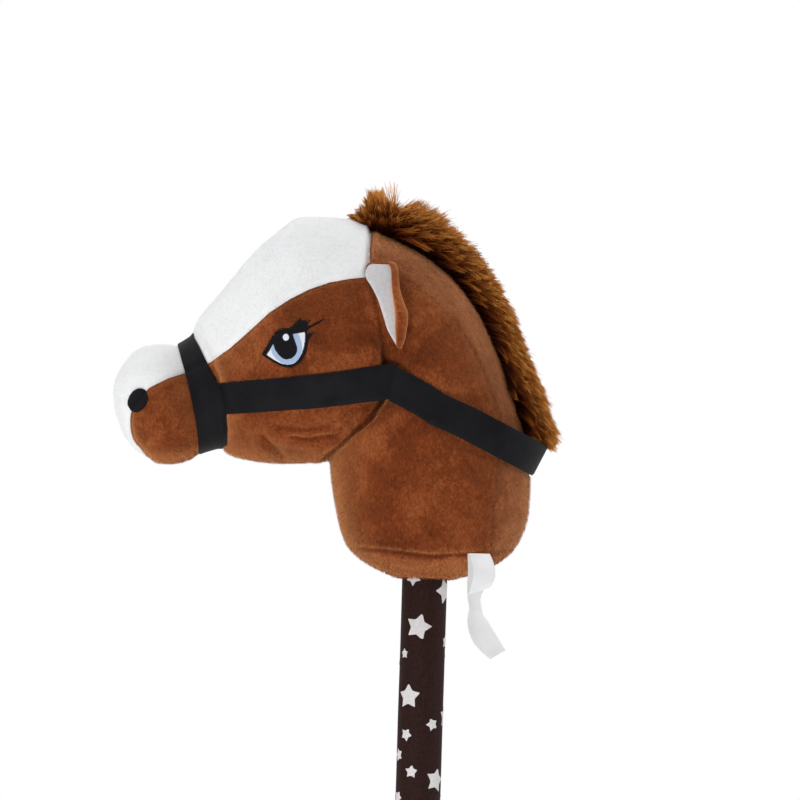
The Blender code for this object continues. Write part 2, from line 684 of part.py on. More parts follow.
def cheek_strap(name, side, reach):
    """Webbing pulled taut from the noseband over the cheek to the rein's end."""
    taut = REIN_HALF_WIDTH - GAP - WEBBING_THICKNESS
    near, far = [], []
    for step in range(STRAP_STEPS + 1):
        share = step / STRAP_STEPS
        rows = ([], [])
        for level in range(STRAP_LEVELS + 1):
            low = level / STRAP_LEVELS
            start = STRAP_START[0] + (STRAP_START[1] - STRAP_START[0]) * low
            x = start + (STRAP_END - start) * share
            z = STRAP_LINE[0] + (STRAP_LINE[1] - STRAP_LINE[0]) * share + WEBBING_WIDTH / MM * (0.5 - low)
            held = taut if x > STRAP_TAUT_FROM else 0.0
            out = max(reach(x, z) + STRAP_STANDOFF, held)
            rows[0].append(world_point(x, z, side * out))
            rows[1].append(world_point(x, z, side * (out + WEBBING_THICKNESS)))
        near.append(rows[0])
        far.append(rows[1])
    return ribbon_solid(name, near, far, None)


def widened_ends(line):
    """The line with both ends carried on past the silhouette."""
    first, second, before, last = Vector(line[0]), Vector(line[1]), Vector(line[-2]), Vector(line[-1])
    start = first + (first - second).normalized() * NOSEBAND_OVERRUN
    end = last + (last - before).normalized() * NOSEBAND_OVERRUN
    return [tuple(start)] + line + [tuple(end)]


def make_rein(webbing):
    slope = math.radians(REIN_SLOPE)
    along = Vector((math.cos(slope), 0, -math.sin(slope)))
    across = Vector((math.sin(slope), 0, math.cos(slope)))
    pivot = world_point(*REIN_PIVOT)

    def loop(extra):
        half, reach = REIN_HALF_WIDTH + extra, REIN_REACH + extra - REIN_STRAIGHT
        path = [(None, -half), (0, -half)]
        for step in range(REIN_BEND_STEPS + 1):
            angle = -math.pi / 2 + math.pi * step / REIN_BEND_STEPS
            run = signed_power(math.cos(angle), 2 / ROUNDNESS) * reach + REIN_STRAIGHT
            path.append((run, signed_power(math.sin(angle), 2 / ROUNDNESS) * half))
        return path + [(0, half), (None, half)]

    faces = []
    for extra in (0, WEBBING_THICKNESS):
        rows = []
        for run, out in loop(extra):
            edges = []
            for edge in (-WEBBING_WIDTH / 2, WEBBING_WIDTH / 2):
                spot = pivot + across * edge
                spot += along * (run if run is not None else (REIN_FRONT * MM - spot.x) / along.x)
                edges.append(spot + Vector((0, out, 0)))
            rows.append(edges)
        faces.append(rows)
    set_origin(ribbon_solid("rein", faces[0], faces[1], webbing), pivot)


def make_labels():
    """Two satin labels from the base seam; the short one lies over the long one."""
    satin = material("white_satin", (0.85, 0.85, 0.86), 0.35)
    reach = plush_reach("form_label_rest")
    seam_z = LONG_LABEL[0][1]
    edges = [x + side * half for x, _, half, _ in (LONG_LABEL[0], SHORT_LABEL[0]) for side in (-1, 0, 1)]
    seat = max(reach(x, z) for x in edges for z in (seam_z, seam_z + LABEL_SEAT_BAND)) + GAP
    above = LABEL_THICKNESS + GAP
    for name, line, start, lean in (
        ("label_long", LONG_LABEL, seat, 0),
        ("label_short", SHORT_LABEL, seat + above, SHORT_LABEL_LEAN),
    ):
        near, far = [], []
        for x, z, half_width, tilt in line:
            turn = math.radians(tilt)
            arm = Vector((math.cos(turn), 0, math.sin(turn))) * half_width * MM
            out = start + (seam_z - z) * MM * lean
            middle = world_point(x, z)
            for row, depth in ((near, out), (far, out + LABEL_THICKNESS)):
                row.append([middle - arm + Vector((0, -depth, 0)), middle + arm + Vector((0, -depth, 0))])
        label = ribbon_solid(name, near, far, satin)
        set_origin(label, world_point(LONG_LABEL[0][0], seam_z, -seat))


def main():
    clear_scene()
    pocket_radius, pocket_top = make_stick()
    make_skins(pocket_radius, pocket_top)
    make_embroidery()
    make_mane()
    make_ears()
    make_bridle()
    make_labels()


main()
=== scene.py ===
"""Hobby horse, dressed: plush, embroidery, mane, webbing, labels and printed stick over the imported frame.

Side-view outlines are (x, z) in millimetres, with x from the stick's axis and z from the underside of
the neck. The horse looks along -X and its left side is towards -Y.
"""

import json
import math

import bmesh
import bpy
import numpy as np
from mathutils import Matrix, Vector, noise
from mathutils.bvhtree import BVHTree

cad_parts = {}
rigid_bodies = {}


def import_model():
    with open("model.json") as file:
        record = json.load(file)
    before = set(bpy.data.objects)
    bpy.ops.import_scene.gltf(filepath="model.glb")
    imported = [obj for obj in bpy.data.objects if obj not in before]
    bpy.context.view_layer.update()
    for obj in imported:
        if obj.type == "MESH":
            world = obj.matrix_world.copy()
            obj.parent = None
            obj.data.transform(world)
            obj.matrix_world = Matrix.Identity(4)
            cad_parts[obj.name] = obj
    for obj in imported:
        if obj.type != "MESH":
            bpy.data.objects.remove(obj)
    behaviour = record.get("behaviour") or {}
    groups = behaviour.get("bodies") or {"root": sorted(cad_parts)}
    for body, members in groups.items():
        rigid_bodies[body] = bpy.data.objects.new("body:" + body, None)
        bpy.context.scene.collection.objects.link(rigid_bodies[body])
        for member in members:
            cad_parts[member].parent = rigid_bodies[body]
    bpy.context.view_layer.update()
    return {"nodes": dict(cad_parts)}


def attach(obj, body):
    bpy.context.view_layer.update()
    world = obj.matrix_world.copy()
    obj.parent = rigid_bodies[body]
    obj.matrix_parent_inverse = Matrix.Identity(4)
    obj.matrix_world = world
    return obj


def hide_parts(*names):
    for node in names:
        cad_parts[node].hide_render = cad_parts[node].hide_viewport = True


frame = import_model()
SEED = 7
MM = 0.001
NECK_UNDERSIDE = 0.564

# Sewn body, as in the solids: upper point x, z, lower point x, z, half width, how far its flanks lie behind
ROUNDNESS = 2.35
CREST_NARROWING = 0.12
HEAD_RINGS = (
    (-38, 208, -27.8, 96, 59.5, 0), (-48, 212, -31, 89, 60, 0), (-60, 213.5, -36.5, 82, 60.5, 0),
    (-72, 213.5, -44, 75, 60.5, 0), (-84, 212, -56, 69.5, 60, 0), (-96, 203, -70, 67, 58, 0),
    (-108, 192.5, -83, 66, 55.5, 1), (-119, 178.5, -95, 66, 52, 2), (-130, 164, -105, 67, 47.5, 4),
    (-139, 153, -114, 68.5, 42, 6), (-142.5, 146, -121, 71, 36, 8), (-143.5, 139.5, -124.5, 74.5, 30, 9),
    (-148, 136, -131, 73, 28.5, 6), (-152, 133.5, -138, 70.5, 28.5, 3), (-156, 134, -143, 66.5, 34, 1),
    (-162, 134.2, -151, 63.5, 39, 0), (-170, 133, -160, 63.2, 41, 0), (-178, 129, -168, 66, 39.5, 0),
    (-184, 122.5, -176, 71.5, 35, 0), (-188.5, 115, -183.5, 80.5, 26, 0), (-190.7, 107, -188.8, 93, 13, 0),
)
NECK_RINGS = (
    (17, 0, -17, 0, 17, 0), (37, 7, -33, 7, 34, 0), (48, 14, -42, 13, 42.5, 0), (55, 22, -47, 18, 48, 0),
    (60, 34, -52, 30, 52, 0), (61.4, 48, -56, 46, 55, 0), (61.1, 62, -58, 61, 57, 0),
    (59.4, 78, -58.5, 75, 58, 0), (55.5, 94, -56, 88, 58.7, 0), (49, 112, -47, 95, 59.2, 0),
    (42.5, 130, -37, 101, 59.5, 0), (33.5, 150, -31, 106, 59.5, 0), (20.5, 171, -28.8, 109.5, 59.5, 0),
    (4, 187, -28.3, 112.3, 59.5, 0), (-17, 199.5, -28.8, 114.5, 59, 0), (-38, 208, -29.6, 116.2, 59, 0),
)
LOFT_SIDES, LOFT_STEPS = 88, 5
SHARP_FROM = math.radians(50)
VOXEL = 1.25 * MM

# Seams in the side view
WHITE_SEAM = (
    (-38.2, 210), (-39, 195), (-39.3, 186), (-41.5, 178.2), (-50.5, 177), (-62.4, 174.5), (-74.3, 170),
    (-86.1, 163.6), (-97.8, 155.4), (-109.5, 143.9), (-121.1, 133.1), (-132.8, 124.3), (-147.1, 117.8),
    (-156.6, 114.5), (-162.5, 111.4), (-168.4, 108.2), (-174, 101), (-178.7, 93.4), (-179.1, 88.6),
    (-178.7, 82.6), (-177, 76.7), (-173.2, 72.6), (-168.9, 67.3), (-165.2, 62),
)
BASE_SEAM = (
    (-60, 18), (-46, 16), (-28.6, 15.9), (-15.4, 15.1), (2.7, 13), (20.7, 14.5), (38.6, 15.6), (60, 22),
)
GUSSET_SEAM = (
    (38.6, 14), (39.2, 35.4), (39.9, 53.5), (41.7, 72.7), (41.5, 90), (38, 106), (32, 122), (24, 138),
    (13, 153), (-1, 167), (-18, 178), (-37, 186),
)
HEAD_SEAM = ((-38.2, 212), (-39, 195), (-38.8, 184), (-34, 160), (-29.5, 137), (-25, 116))
FOLD = (
    (-25, 116), (-28, 107), (-31.6, 100.8), (-34.9, 95.1), (-39.8, 90.5), (-45.6, 85.8), (-50.4, 80.7),
    (-55.3, 76), (-62, 70),
)


def world(x, z, y=0.0):
    return Vector((x * MM, y, NECK_UNDERSIDE + z * MM))


def mesh_object(name, points, faces, material=None):
    mesh = bpy.data.meshes.new(name)
    mesh.from_pydata([tuple(point) for point in points], [], [tuple(face) for face in faces])
    mesh.shade_smooth()
    if material:
        mesh.materials.append(material)
    obj = bpy.data.objects.new(name, mesh)
    bpy.context.scene.collection.objects.link(obj)
    return obj


def turned_outward(obj):
    """The object with the front of every face on its outside."""
    shape = bmesh.new()
    shape.from_mesh(obj.data)
    bmesh.ops.recalc_face_normals(shape, faces=shape.faces)
    shape.to_mesh(obj.data)
    shape.free()
    return obj


def mark(obj, name, values):
    """Gives each point a number or a vector for its material to read."""
    values = np.array(values, np.float32)
    kind, field = ("FLOAT", "value") if values.ndim == 1 else ("FLOAT_VECTOR", "vector")
    obj.data.attributes.new(name, kind, "POINT").data.foreach_set(field, values.ravel())


def apply_modifiers(obj):
    graph = bpy.context.evaluated_depsgraph_get()
    mesh = bpy.data.meshes.new_from_object(obj.evaluated_get(graph))
    obj.modifiers.clear()
    obj.data = mesh


def tube_faces(count, sides):
    """Faces between each ring of points and the next."""
    return [
        (row * sides + side, row * sides + after, (row + 1) * sides + after, (row + 1) * sides + side)
        for row in range(count - 1) for side, after in zip(range(sides), [*range(1, sides), 0])
    ]


def turns(count):
    """Equal steps once round, in radians."""
    return [2 * math.pi * step / count for step in range(count)]


def signed_power(value, power):
    return math.copysign(abs(value) ** power, value)


def bell(gap, width, middle=0):
    """1 at the middle of a seam or crease, falling off on both sides of it."""
    return np.exp(-((gap - middle) / width) ** 2)


def spline_rows(rows, steps):
    """Rows of numbers with smooth steps put in between, through every row."""
    rows = np.array(rows, float)
    padded = np.vstack([2 * rows[0] - rows[1], rows, 2 * rows[-1] - rows[-2]])
    made = []
    for index in range(len(rows) - 1):
        a, b, c, d = padded[index:index + 4]
        for step in range(steps):
            t = step / steps
            made.append(0.5 * (
                2 * b + (c - a) * t + (2 * a - 5 * b + 4 * c - d) * t * t + (3 * b - a - 3 * c + d) * t ** 3
            ))
    made.append(rows[-1])
    return np.array(made)


# Materials

def node(tree, kind, settings=None, **inputs):
    made = tree.nodes.new("ShaderNode" + kind)
    for key, value in (settings or {}).items():
        setattr(made, key, value)
    for key, value in inputs.items():
        socket = made.inputs[int(key[1:])] if key[0] == "_" else made.inputs[key.replace("_", " ")]
        if isinstance(value, bpy.types.NodeSocket):
            tree.links.new(value, socket)
        else:
            socket.default_value = value
    return made


def ramp(tree, factor, stops):
    made = node(tree, "ValToRGB", _0=factor)
    band = made.color_ramp
    while len(band.elements) < len(stops):
        band.elements.new(0.5)
    for element, (position, colour) in zip(band.elements, stops):
        element.position = position
        element.color = (*colour, 1)
    return made.outputs[0]


def maths(tree, operation, *values):
    made = tree.nodes.new("ShaderNodeMath")
    made.operation = operation
    for index, value in enumerate(values):
        if isinstance(value, bpy.types.NodeSocket):
            tree.links.new(value, made.inputs[index])
        else:
            made.inputs[index].default_value = value
    return made.outputs[0]


def noise_at(tree, scale, detail, rough, vector=None, distortion=0.0):
    vector = vector or node(tree, "TexCoord").outputs["Object"]
    return node(
        tree, "TexNoise", Vector=vector, Scale=scale, Detail=detail, Roughness=rough, Distortion=distortion,
    ).outputs[0]


def wave_at(tree, direction, vector, **settings):
    return node(tree, "TexWave", {"bands_direction": direction}, Vector=vector, **settings).outputs["Fac"]


def attribute(tree, name, output="Fac"):
    """What mark() gave to the points."""
    return node(tree, "Attribute", {"attribute_name": name}).outputs[output]


def shifted(tree, height, source, middle, weight):
    """The height, raised where a source is above its middle and lowered where it is below."""
    return maths(tree, "MULTIPLY_ADD", maths(tree, "SUBTRACT", source, middle), weight, height)


def clouds(scale, detail, rough, *stops):
    """A colour that drifts between (place, colour) stops along a noise."""
    return lambda tree: ramp(tree, noise_at(tree, scale, detail, rough), stops)


def grain(scale, detail, rough):
    return lambda tree: noise_at(tree, scale, detail, rough)


def finish(name, colour, roughness, bump=None, strength=0.3, distance=0.0004, **uniform):
    """A Principled material from a colour (socket or numbers), a roughness and a height socket."""
    made = bpy.data.materials.new(name)
    made.use_nodes = True
    tree = made.node_tree
    shader = tree.nodes["Principled BSDF"]
    colour, roughness, bump = (part(tree) if callable(part) else part for part in (colour, roughness, bump))
    for key, value in (("Base Color", colour), ("Roughness", roughness)):
        if isinstance(value, bpy.types.NodeSocket):
            tree.links.new(value, shader.inputs[key])
        else:
            shader.inputs[key].default_value = (*value, 1) if key == "Base Color" else value
    if bump is not None:
        relief = node(tree, "Bump", Height=bump, Strength=strength, Distance=distance)
        tree.links.new(relief.outputs[0], shader.inputs["Normal"])
    for key, value in uniform.items():
        shader.inputs[key.replace("_", " ")].default_value = value
    return made


def stretched(tree, scale):
    """Object coordinates scaled by three factors."""
    return node(tree, "Mapping", Vector=node(tree, "TexCoord").outputs["Object"], Scale=scale).outputs[0]


def plush_material(name, dark, middle, light, sheen, contrast, fibres=False):
    """Short brushed pile: broad patches where the pile lies another way, mottling, fine fibre grain, and
    painted shade along seams, folds and creases.
    """
    def colour(tree):
        patches = noise_at(tree, 21, 3, 0.55, distortion=0.6)
        brushed = noise_at(tree, 38, 4, 0.6, distortion=0.4)
        brushed = ramp(tree, brushed, ((0.47, (0, 0, 0)), (0.56, (1, 1, 1))))
        furrows = noise_at(tree, 1, 2, 0.6, stretched(tree, (640, 640, 420)))
        if fibres:
            finest = attribute(tree, "shade"), 0.4, 0.5
        else:
            finest = noise_at(tree, 1, 2, 0.7, stretched(tree, (1700, 1700, 700))), 0.5, 0.6
        height = maths(tree, "MULTIPLY_ADD", patches, contrast, 0.5 - contrast / 2)
        # The seam mark darkens the pile: painted shade in seams, folds and creases.
        for source, level, weight in (
            (brushed, 0.5, 0.17 * contrast), (noise_at(tree, 240, 3, 0.6), 0.5, 0.34), (furrows, 0.5, 0.75),
            (attribute(tree, "seam"), 0, -0.55), finest,
        ):
            height = shifted(tree, height, source, level, weight)
        return ramp(tree, height, ((0.15, dark), (0.5, middle), (0.85, light)))

    def relief(tree):
        fine = noise_at(tree, 1, 2, 0.75, stretched(tree, (1900, 1900, 800)))
        return maths(tree, "MULTIPLY_ADD", noise_at(tree, 420, 2, 0.6), 0.8, fine)

    return finish(
        name, colour, 0.88, None if fibres else relief, 0.55, 0.0005,
        Sheen_Weight=sheen[0], Sheen_Roughness=0.52, Sheen_Tint=(*sheen[1], 1), Specular_IOR_Level=0.05,
    )


def webbing_material():
    """Black satin webbing with fine ribs across it and a soft sheen."""
    def relief(tree):
        ribs = wave_at(tree, "X", attribute(tree, "weave", "Vector"), Scale=0.9, Distortion=0.4)
        return maths(tree, "MULTIPLY_ADD", noise_at(tree, 2600, 2, 0.6), 0.5, ribs)

    colour = clouds(60, 3, 0.6, (0.3, (0.006, 0.006, 0.007)), (0.75, (0.0105, 0.01, 0.012)))
    return finish("webbing", colour, 0.5, relief, 0.25, 0.0002, Specular_IOR_Level=0.05, Sheen_Weight=0.01)


def thread_material(name, colour, shade):
    """Satin stitch: threads side by side along one direction, raised in bands, with painted shade in the
    grooves between them.
    """
    def bands(tree):
        return wave_at(tree, "X", attribute(tree, "stitch", "Vector"), Scale=0.62, Distortion=0.8, Detail=2)

    # Colour follows the threads' relief: painted shade where they lie low.
    return finish(
        name, lambda tree: ramp(tree, bands(tree), ((0.1, shade), (0.6, colour))), 0.5, bands, 0.5, 0.0003,
        Specular_IOR_Level=0.06,
    )


# Pile: its dark, middle and light colour, weight and colour of its sheen, how far its patches differ
SHADES = {
    "brown_pile": (
        (0.08, 0.0125, 0.0028), (0.18, 0.0345, 0.0078), (0.325, 0.094, 0.029), (1.0, (1.0, 0.45, 0.18)), 0.95,
    ),
    "gusset_pile": (
        (0.088, 0.017, 0.005), (0.18, 0.043, 0.0125), (0.32, 0.108, 0.04), (1.0, (1.0, 0.48, 0.22)), 1.0,
    ),
    "white_pile": (
        (0.72, 0.725, 0.735), (0.83, 0.835, 0.84), (0.88, 0.88, 0.885), (0.3, (0.95, 0.95, 0.95)), 0.35,
    ),
    # Ear lining: the white pile painted darker, as painted shade in the ear's hollow.
    "lining_pile": (
        (0.5, 0.49, 0.5), (0.585, 0.57, 0.58), (0.65, 0.64, 0.65), (0.2, (0.95, 0.95, 0.95)), 0.35,
    ),
}
BROWN, GUSSET_BROWN, WHITE, PAINTED_SHADE_LINING = (plush_material(name, *shades) for name, shades in SHADES.items())
BROWN_FIBRES, GUSSET_FIBRES, WHITE_FIBRES = (
    plush_material(name + "_fibres", *SHADES[name], fibres=True)
    for name in ("brown_pile", "gusset_pile", "white_pile")
)
WEBBING = webbing_material()
BLACK_THREAD = thread_material("black_stitching", (0.01, 0.01, 0.012), (0.004, 0.004, 0.005))
WHITE_THREAD = thread_material("white_stitching", (0.84, 0.86, 0.9), (0.66, 0.68, 0.74))
BLUE_THREAD = thread_material("blue_stitching", (0.44, 0.56, 0.75), (0.26, 0.37, 0.58))


# Outlines in the side view

def nearest_on_line(spots, line, closed=False):
    """Distance from each (x, z) to a line, and the nearest point on it."""
    line = np.array(line, float)
    ends = np.roll(line, -1, 0) if closed else line[1:]
    starts = line if closed else line[:-1]
    best = np.full(len(spots), np.inf)
    found = np.zeros((len(spots), 2))
    for start, end in zip(starts, ends):
        run = end - start
        share = np.clip(((spots - start) @ run) / max(run @ run, 1e-12), 0, 1)
        near = start + share[:, None] * run
        gap = np.hypot(*(spots - near).T)
        closer = gap < best
        best[closer], found[closer] = gap[closer], near[closer]
    return best, found


def inside(spots, outline):
    """Which (x, z) lie in a closed outline."""
    x, z = spots.T
    held = np.zeros(len(spots), bool)
    for (x0, z0), (x1, z1) in zip(outline, list(outline[1:]) + [outline[0]]):
        crosses = (z0 > z) != (z1 > z)
        at = x0 + (z - z0) * (x1 - x0) / (z1 - z0 if z1 != z0 else 1e-9)
        held ^= crosses & (x < at)
    return held


WHITE_ZONE = [(-30, 260), (-34, 215), *WHITE_SEAM, (-164, 30), (-240, 30), (-240, 260)]
BASE_ZONE = [(-90, -20), (-90, 18), *BASE_SEAM, (90, 24), (90, -20)]
GUSSET_ZONE = [(38.6, -20), *GUSSET_SEAM, (-42, 190), (-36, 220), (-30, 260), (120, 260), (120, -20)]
HEAD_ZONE = [(-240, 260), (-34, 260), *HEAD_SEAM, *FOLD[1:], (-62, 20), (-240, 20)]


# Plush body

def loft(name, rings):
    """A closed body through rings: upper point, lower point, half width and how far the flanks lie behind."""
    points = []
    rows = spline_rows(rings, LOFT_STEPS)
    for top_x, top_z, low_x, low_z, half_width, behind in rows:
        centre = world((top_x + low_x) / 2, (top_z + low_z) / 2)
        up = world(top_x, top_z) - centre
        along = Vector((-up.z, 0, up.x)).normalized()
        for turn in turns(LOFT_SIDES):
            rise = signed_power(math.cos(turn), 2 / ROUNDNESS)
            spread = signed_power(math.sin(turn), 2 / ROUNDNESS)
            width = half_width * MM * (1 - CREST_NARROWING * rise)
            points.append(
                centre + up * rise + Vector((0, width * spread, 0)) - along * behind * MM * spread ** 2
            )
    last = (len(rows) - 1) * LOFT_SIDES
    ends = [range(LOFT_SIDES), range(last, last + LOFT_SIDES)]
    return turned_outward(mesh_object(name, points, tube_faces(len(rows), LOFT_SIDES) + ends))


def arrays(mesh):
    points = np.empty(len(mesh.vertices) * 3)
    mesh.vertices.foreach_get("co", points)
    normals = np.empty(len(mesh.vertices) * 3, np.float32)
    mesh.vertex_normals.foreach_get("vector", normals)
    return points.reshape(-1, 3), normals.reshape(-1, 3).astype(float)


def spots_of(points):
    return np.column_stack([points[:, 0] / MM, (points[:, 2] - NECK_UNDERSIDE) / MM])


# Creases in the plush: side-view line, depth in mm, width in mm
CREASES = (
    (FOLD, 2.4, 1.4),
    (((-82.3, 81.2), (-74.5, 80.8), (-65.5, 82), (-56.5, 83.8), (-52.6, 86.2), (-52.6, 88.5)), 2.0, 1.5),
    (((-89.7, 87.2), (-77.6, 86.1), (-66.8, 87), (-59.5, 89.2)), 1.1, 2.2),
    (((-99.1, 81.5), (-95.4, 77.4), (-91, 73.4), (-87.9, 69.9)), 1.4, 2.2),
    (((-31, 106), (-38, 102), (-45, 100.5)), 0.8, 2.0),
)
SEAM_LINES = (
    (WHITE_SEAM, 0.9, 1.3),
    (HEAD_SEAM[:4], 0.9, 1.4),
    (BASE_SEAM, 1.1, 1.2),
    (GUSSET_SEAM, 0.35, 1.1),
)
# Unevenness of the stuffing: how broad in metres, how high in mm
LUMPS = ((0.045, 0.9), (0.022, 0.45))
# Height up to which the cheek stands out over the neck along the fold
CHEEK_TOP = 112
# Below this height a face belongs to the head or the neck by which of the two lies nearer
HEAD_MEETS_NECK = 116
# How near a seam the points between two panels have to lie to be moved onto it, in mm
SEAM_REACH = 2.2


def flush_ends(spots):
    """1 along the sides of the neck, falling to 0.15 where the base seam runs round its front and back."""
    return np.clip(np.minimum(spots[:, 0] + 44, 36 - spots[:, 0]) / 8, 0.15, 1)


def painted_seam_shade(spots):
    """Painted shade for the pile's colour: 1 in a seam, fold or crease, falling to 0 beside it."""
    deep = np.zeros(len(spots))
    for line, weight, width in (
        (BASE_SEAM, 0.8 * flush_ends(spots), 0.9), (FOLD, 1, 1.6), (GUSSET_SEAM, 0.15, 1.0),
        (HEAD_SEAM, 0.6, 1.2), (WHITE_SEAM, 0.28, 0.9),
        *((line, 0.2 * depth, width) for line, depth, width in CREASES[1:]),
    ):
        deep = np.maximum(deep, weight * bell(nearest_on_line(spots, line)[0], width))
    return deep


def shaped(points):
    """How far each point moves out: seams and creases pull it in, and the stuffing is a little uneven."""
    spots = spots_of(points)
    middle = np.abs(points[:, 1]) / MM
    flank = np.clip((middle - 8) / 14, 0, 1)
    out = np.zeros(len(points))
    for lines, weight in ((SEAM_LINES, np.ones(len(points))), (CREASES, flank)):
        for line, depth, width in lines:
            gap = nearest_on_line(spots, line)[0]
            depth = depth * (flush_ends(spots) if line is BASE_SEAM else 1)
            out -= weight * depth * bell(gap, width)
            out += weight * depth * 0.35 * bell(gap, 1.4 * width, 2.6 * width)
    gap = nearest_on_line(spots, FOLD)[0]
    low = spots[:, 1] < CHEEK_TOP
    cheek, neck = 1.8 * bell(gap, 3.5, 5.5), -0.7 * bell(gap, 3) * low
    out += flank * np.where(inside(spots, HEAD_ZONE) & low, cheek, neck)
    brown = ~inside(spots, WHITE_ZONE) & ~inside(spots, GUSSET_ZONE)
    out -= brown * 0.8 * bell(middle, 1.4)
    for index, point in enumerate(points):
        for size, height in LUMPS:
            out[index] += height * noise.noise(Vector(point) / size)
    return out


def split(name, points, normals, faces, chosen, body, material, nodes):
    """One sewn panel as its own piece, shaded as part of the whole surface."""
    picked = faces[chosen]
    used, index = np.unique(picked, return_inverse=True)
    obj = mesh_object(name, points[used], index.reshape(-1, faces.shape[1]), material)
    obj.data.normals_split_custom_set_from_vertices([tuple(n) for n in normals[used]])
    # The seam mark is painted shade in the seams, folds and creases.
    mark(obj, "seam", painted_seam_shade(spots_of(points[used])))
    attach(obj, body)
    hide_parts(*nodes)
    return obj


def snapped(points, faces, kinds, lines):
    """Moves the points where two kinds of face meet onto the seam that parts them."""
    for first, second, line in lines:
        near = np.zeros(len(points), bool)
        also = np.zeros(len(points), bool)
        near[faces[np.isin(kinds, first)].ravel()] = True
        also[faces[np.isin(kinds, second)].ravel()] = True
        shared = np.flatnonzero(near & also)
        if line is None:
            points[shared, 1] = 0
            continue
        gap, found = nearest_on_line(spots_of(points[shared]), line)
        close = gap < SEAM_REACH
        points[shared[close], 0] = found[close, 0] * MM
        points[shared[close], 2] = NECK_UNDERSIDE + found[close, 1] * MM
    return points


def make_plush():
    head, neck = loft("head_loft", HEAD_RINGS), loft("neck_loft", NECK_RINGS)
    graph = bpy.context.evaluated_depsgraph_get()
    head_tree, neck_tree = BVHTree.FromObject(head, graph), BVHTree.FromObject(neck, graph)
    shape = bmesh.new()
    shape.from_mesh(head.data)
    shape.from_mesh(neck.data)
    whole = mesh_object("plush_whole", [], [])
    shape.to_mesh(whole.data)
    shape.free()
    bpy.data.objects.remove(head)
    bpy.data.objects.remove(neck)
    remesh = whole.modifiers.new("remesh", "REMESH")
    remesh.mode = "VOXEL"
    remesh.voxel_size = VOXEL
    soften = whole.modifiers.new("soften", "SMOOTH")
    soften.factor = 0.5
    soften.iterations = 5
    apply_modifiers(whole)
    points, normals = arrays(whole.data)
    faces = np.empty(len(whole.data.loops), int)
    whole.data.loops.foreach_get("vertex_index", faces)
    faces = faces.reshape(-1, 4)
    bpy.data.objects.remove(whole)

    points = points + normals * (shaped(points) * MM)[:, None]
    centres = points[faces].mean(1)
    spots = spots_of(centres)
    on_head = inside(spots, HEAD_ZONE)
    low = np.flatnonzero(spots[:, 1] < HEAD_MEETS_NECK)
    for index in low:
        to_head = head_tree.find_nearest(centres[index])[3]
        on_head[index] = to_head < neck_tree.find_nearest(centres[index])[3]
    left = centres[:, 1] < 0
    kinds = np.where(on_head, np.where(left, 1, 2), np.where(left, 3, 4))
    kinds[on_head & inside(spots, WHITE_ZONE)] = 0
    kinds[~on_head & inside(spots, GUSSET_ZONE)] = 5
    kinds[~on_head & inside(spots, BASE_ZONE)] = 6
    points = snapped(points, faces, kinds, (
        ((0,), (1, 2), WHITE_SEAM), ((0,), (3, 4, 5), HEAD_SEAM), ((1,), (2,), None), ((3,), (4,), None),
        ((3, 4), (5,), GUSSET_SEAM), ((3, 4, 5), (6,), BASE_SEAM),
    ))
    mesh = bpy.data.meshes.new("whole")
    mesh.from_pydata(points.tolist(), [], faces.tolist())
    points, normals = arrays(mesh)
    parts = (
        ("white_face", WHITE, ("white_face_panel", "head_stuffing")),
        ("cheek_left", BROWN, ("cheek_panel_left",)),
        ("cheek_right", BROWN, ("cheek_panel_right",)),
        ("neck_left", BROWN, ("neck_panel_left",)),
        ("neck_right", BROWN, ("neck_panel_right",)),
        ("neck_gusset", GUSSET_BROWN, ("neck_back_gusset",)),
        ("neck_base", BROWN, ("neck_base_panel", "neck_stuffing")),
    )
    for kind, (name, material, nodes) in enumerate(parts):
        piece = split(name, points, normals, faces, kinds == kind, "head_and_stick", material, nodes)
    tree = BVHTree.FromPolygons(points.tolist(), faces.tolist())
    return tree


# Webbing

WEB = 20.0
WEB_THICK = 1.2
WEB_GAP = 0.35
WEB_COLUMNS = 13


def caster(tree):
    """A function that finds the plush from a side-view point: how far out it lies, and its normal."""
    def cast(x, z, side):
        hit, normal, *_ = tree.ray_cast(world(x, z, side * 0.3), Vector((0, -side, 0)))
        return (hit, normal) if hit else (world(x, z, 0), Vector((0, side, 0)))
    return cast


def webbing_strip(name, rows, lengths, closed=False):
    """A strap from rows of (inner point, outward direction), each row running across the strap."""
    count, wide = len(rows), len(rows[0])
    points, weave = [], []
    for row, length in zip(rows, lengths):
        for layer in (0, 1):
            for index, (spot, out) in enumerate(row):
                across = index / (wide - 1)
                edge = min(across, 1 - across) * WEB
                round_off = math.sqrt(max(0.0, 1 - max(0.0, 1 - edge / 0.7) ** 2))
                depth = WEB_THICK * (0.5 + (layer - 0.5) * round_off)
                points.append(spot + out * depth * MM)
                weave.append((length, across * WEB, 0))
    faces = []
    ring = list(range(wide)) + list(range(2 * wide - 1, wide - 1, -1))
    for row in range(count if closed else count - 1):
        low, high = row * 2 * wide, ((row + 1) % count) * 2 * wide
        for first, second in zip(ring, ring[1:] + ring[:1]):
            faces.append((low + first, low + second, high + second, high + first))
    if not closed:
        faces += [tuple(ring), tuple((count - 1) * 2 * wide + index for index in reversed(ring))]
    obj = turned_outward(mesh_object(name, points, faces, WEBBING))
    obj.data.set_sharp_from_angle(angle=SHARP_FROM)
    mark(obj, "weave", weave)
    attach(obj, "rein" if name == "rein_strap" else "head_and_stick")
    return obj


def line_at(line, height):
    """x of a side-view line, listed from the top down, at a height."""
    heights = [z for _, z in line]
    return float(np.interp(-height, [-z for z in heights], [x for x, _ in line]))


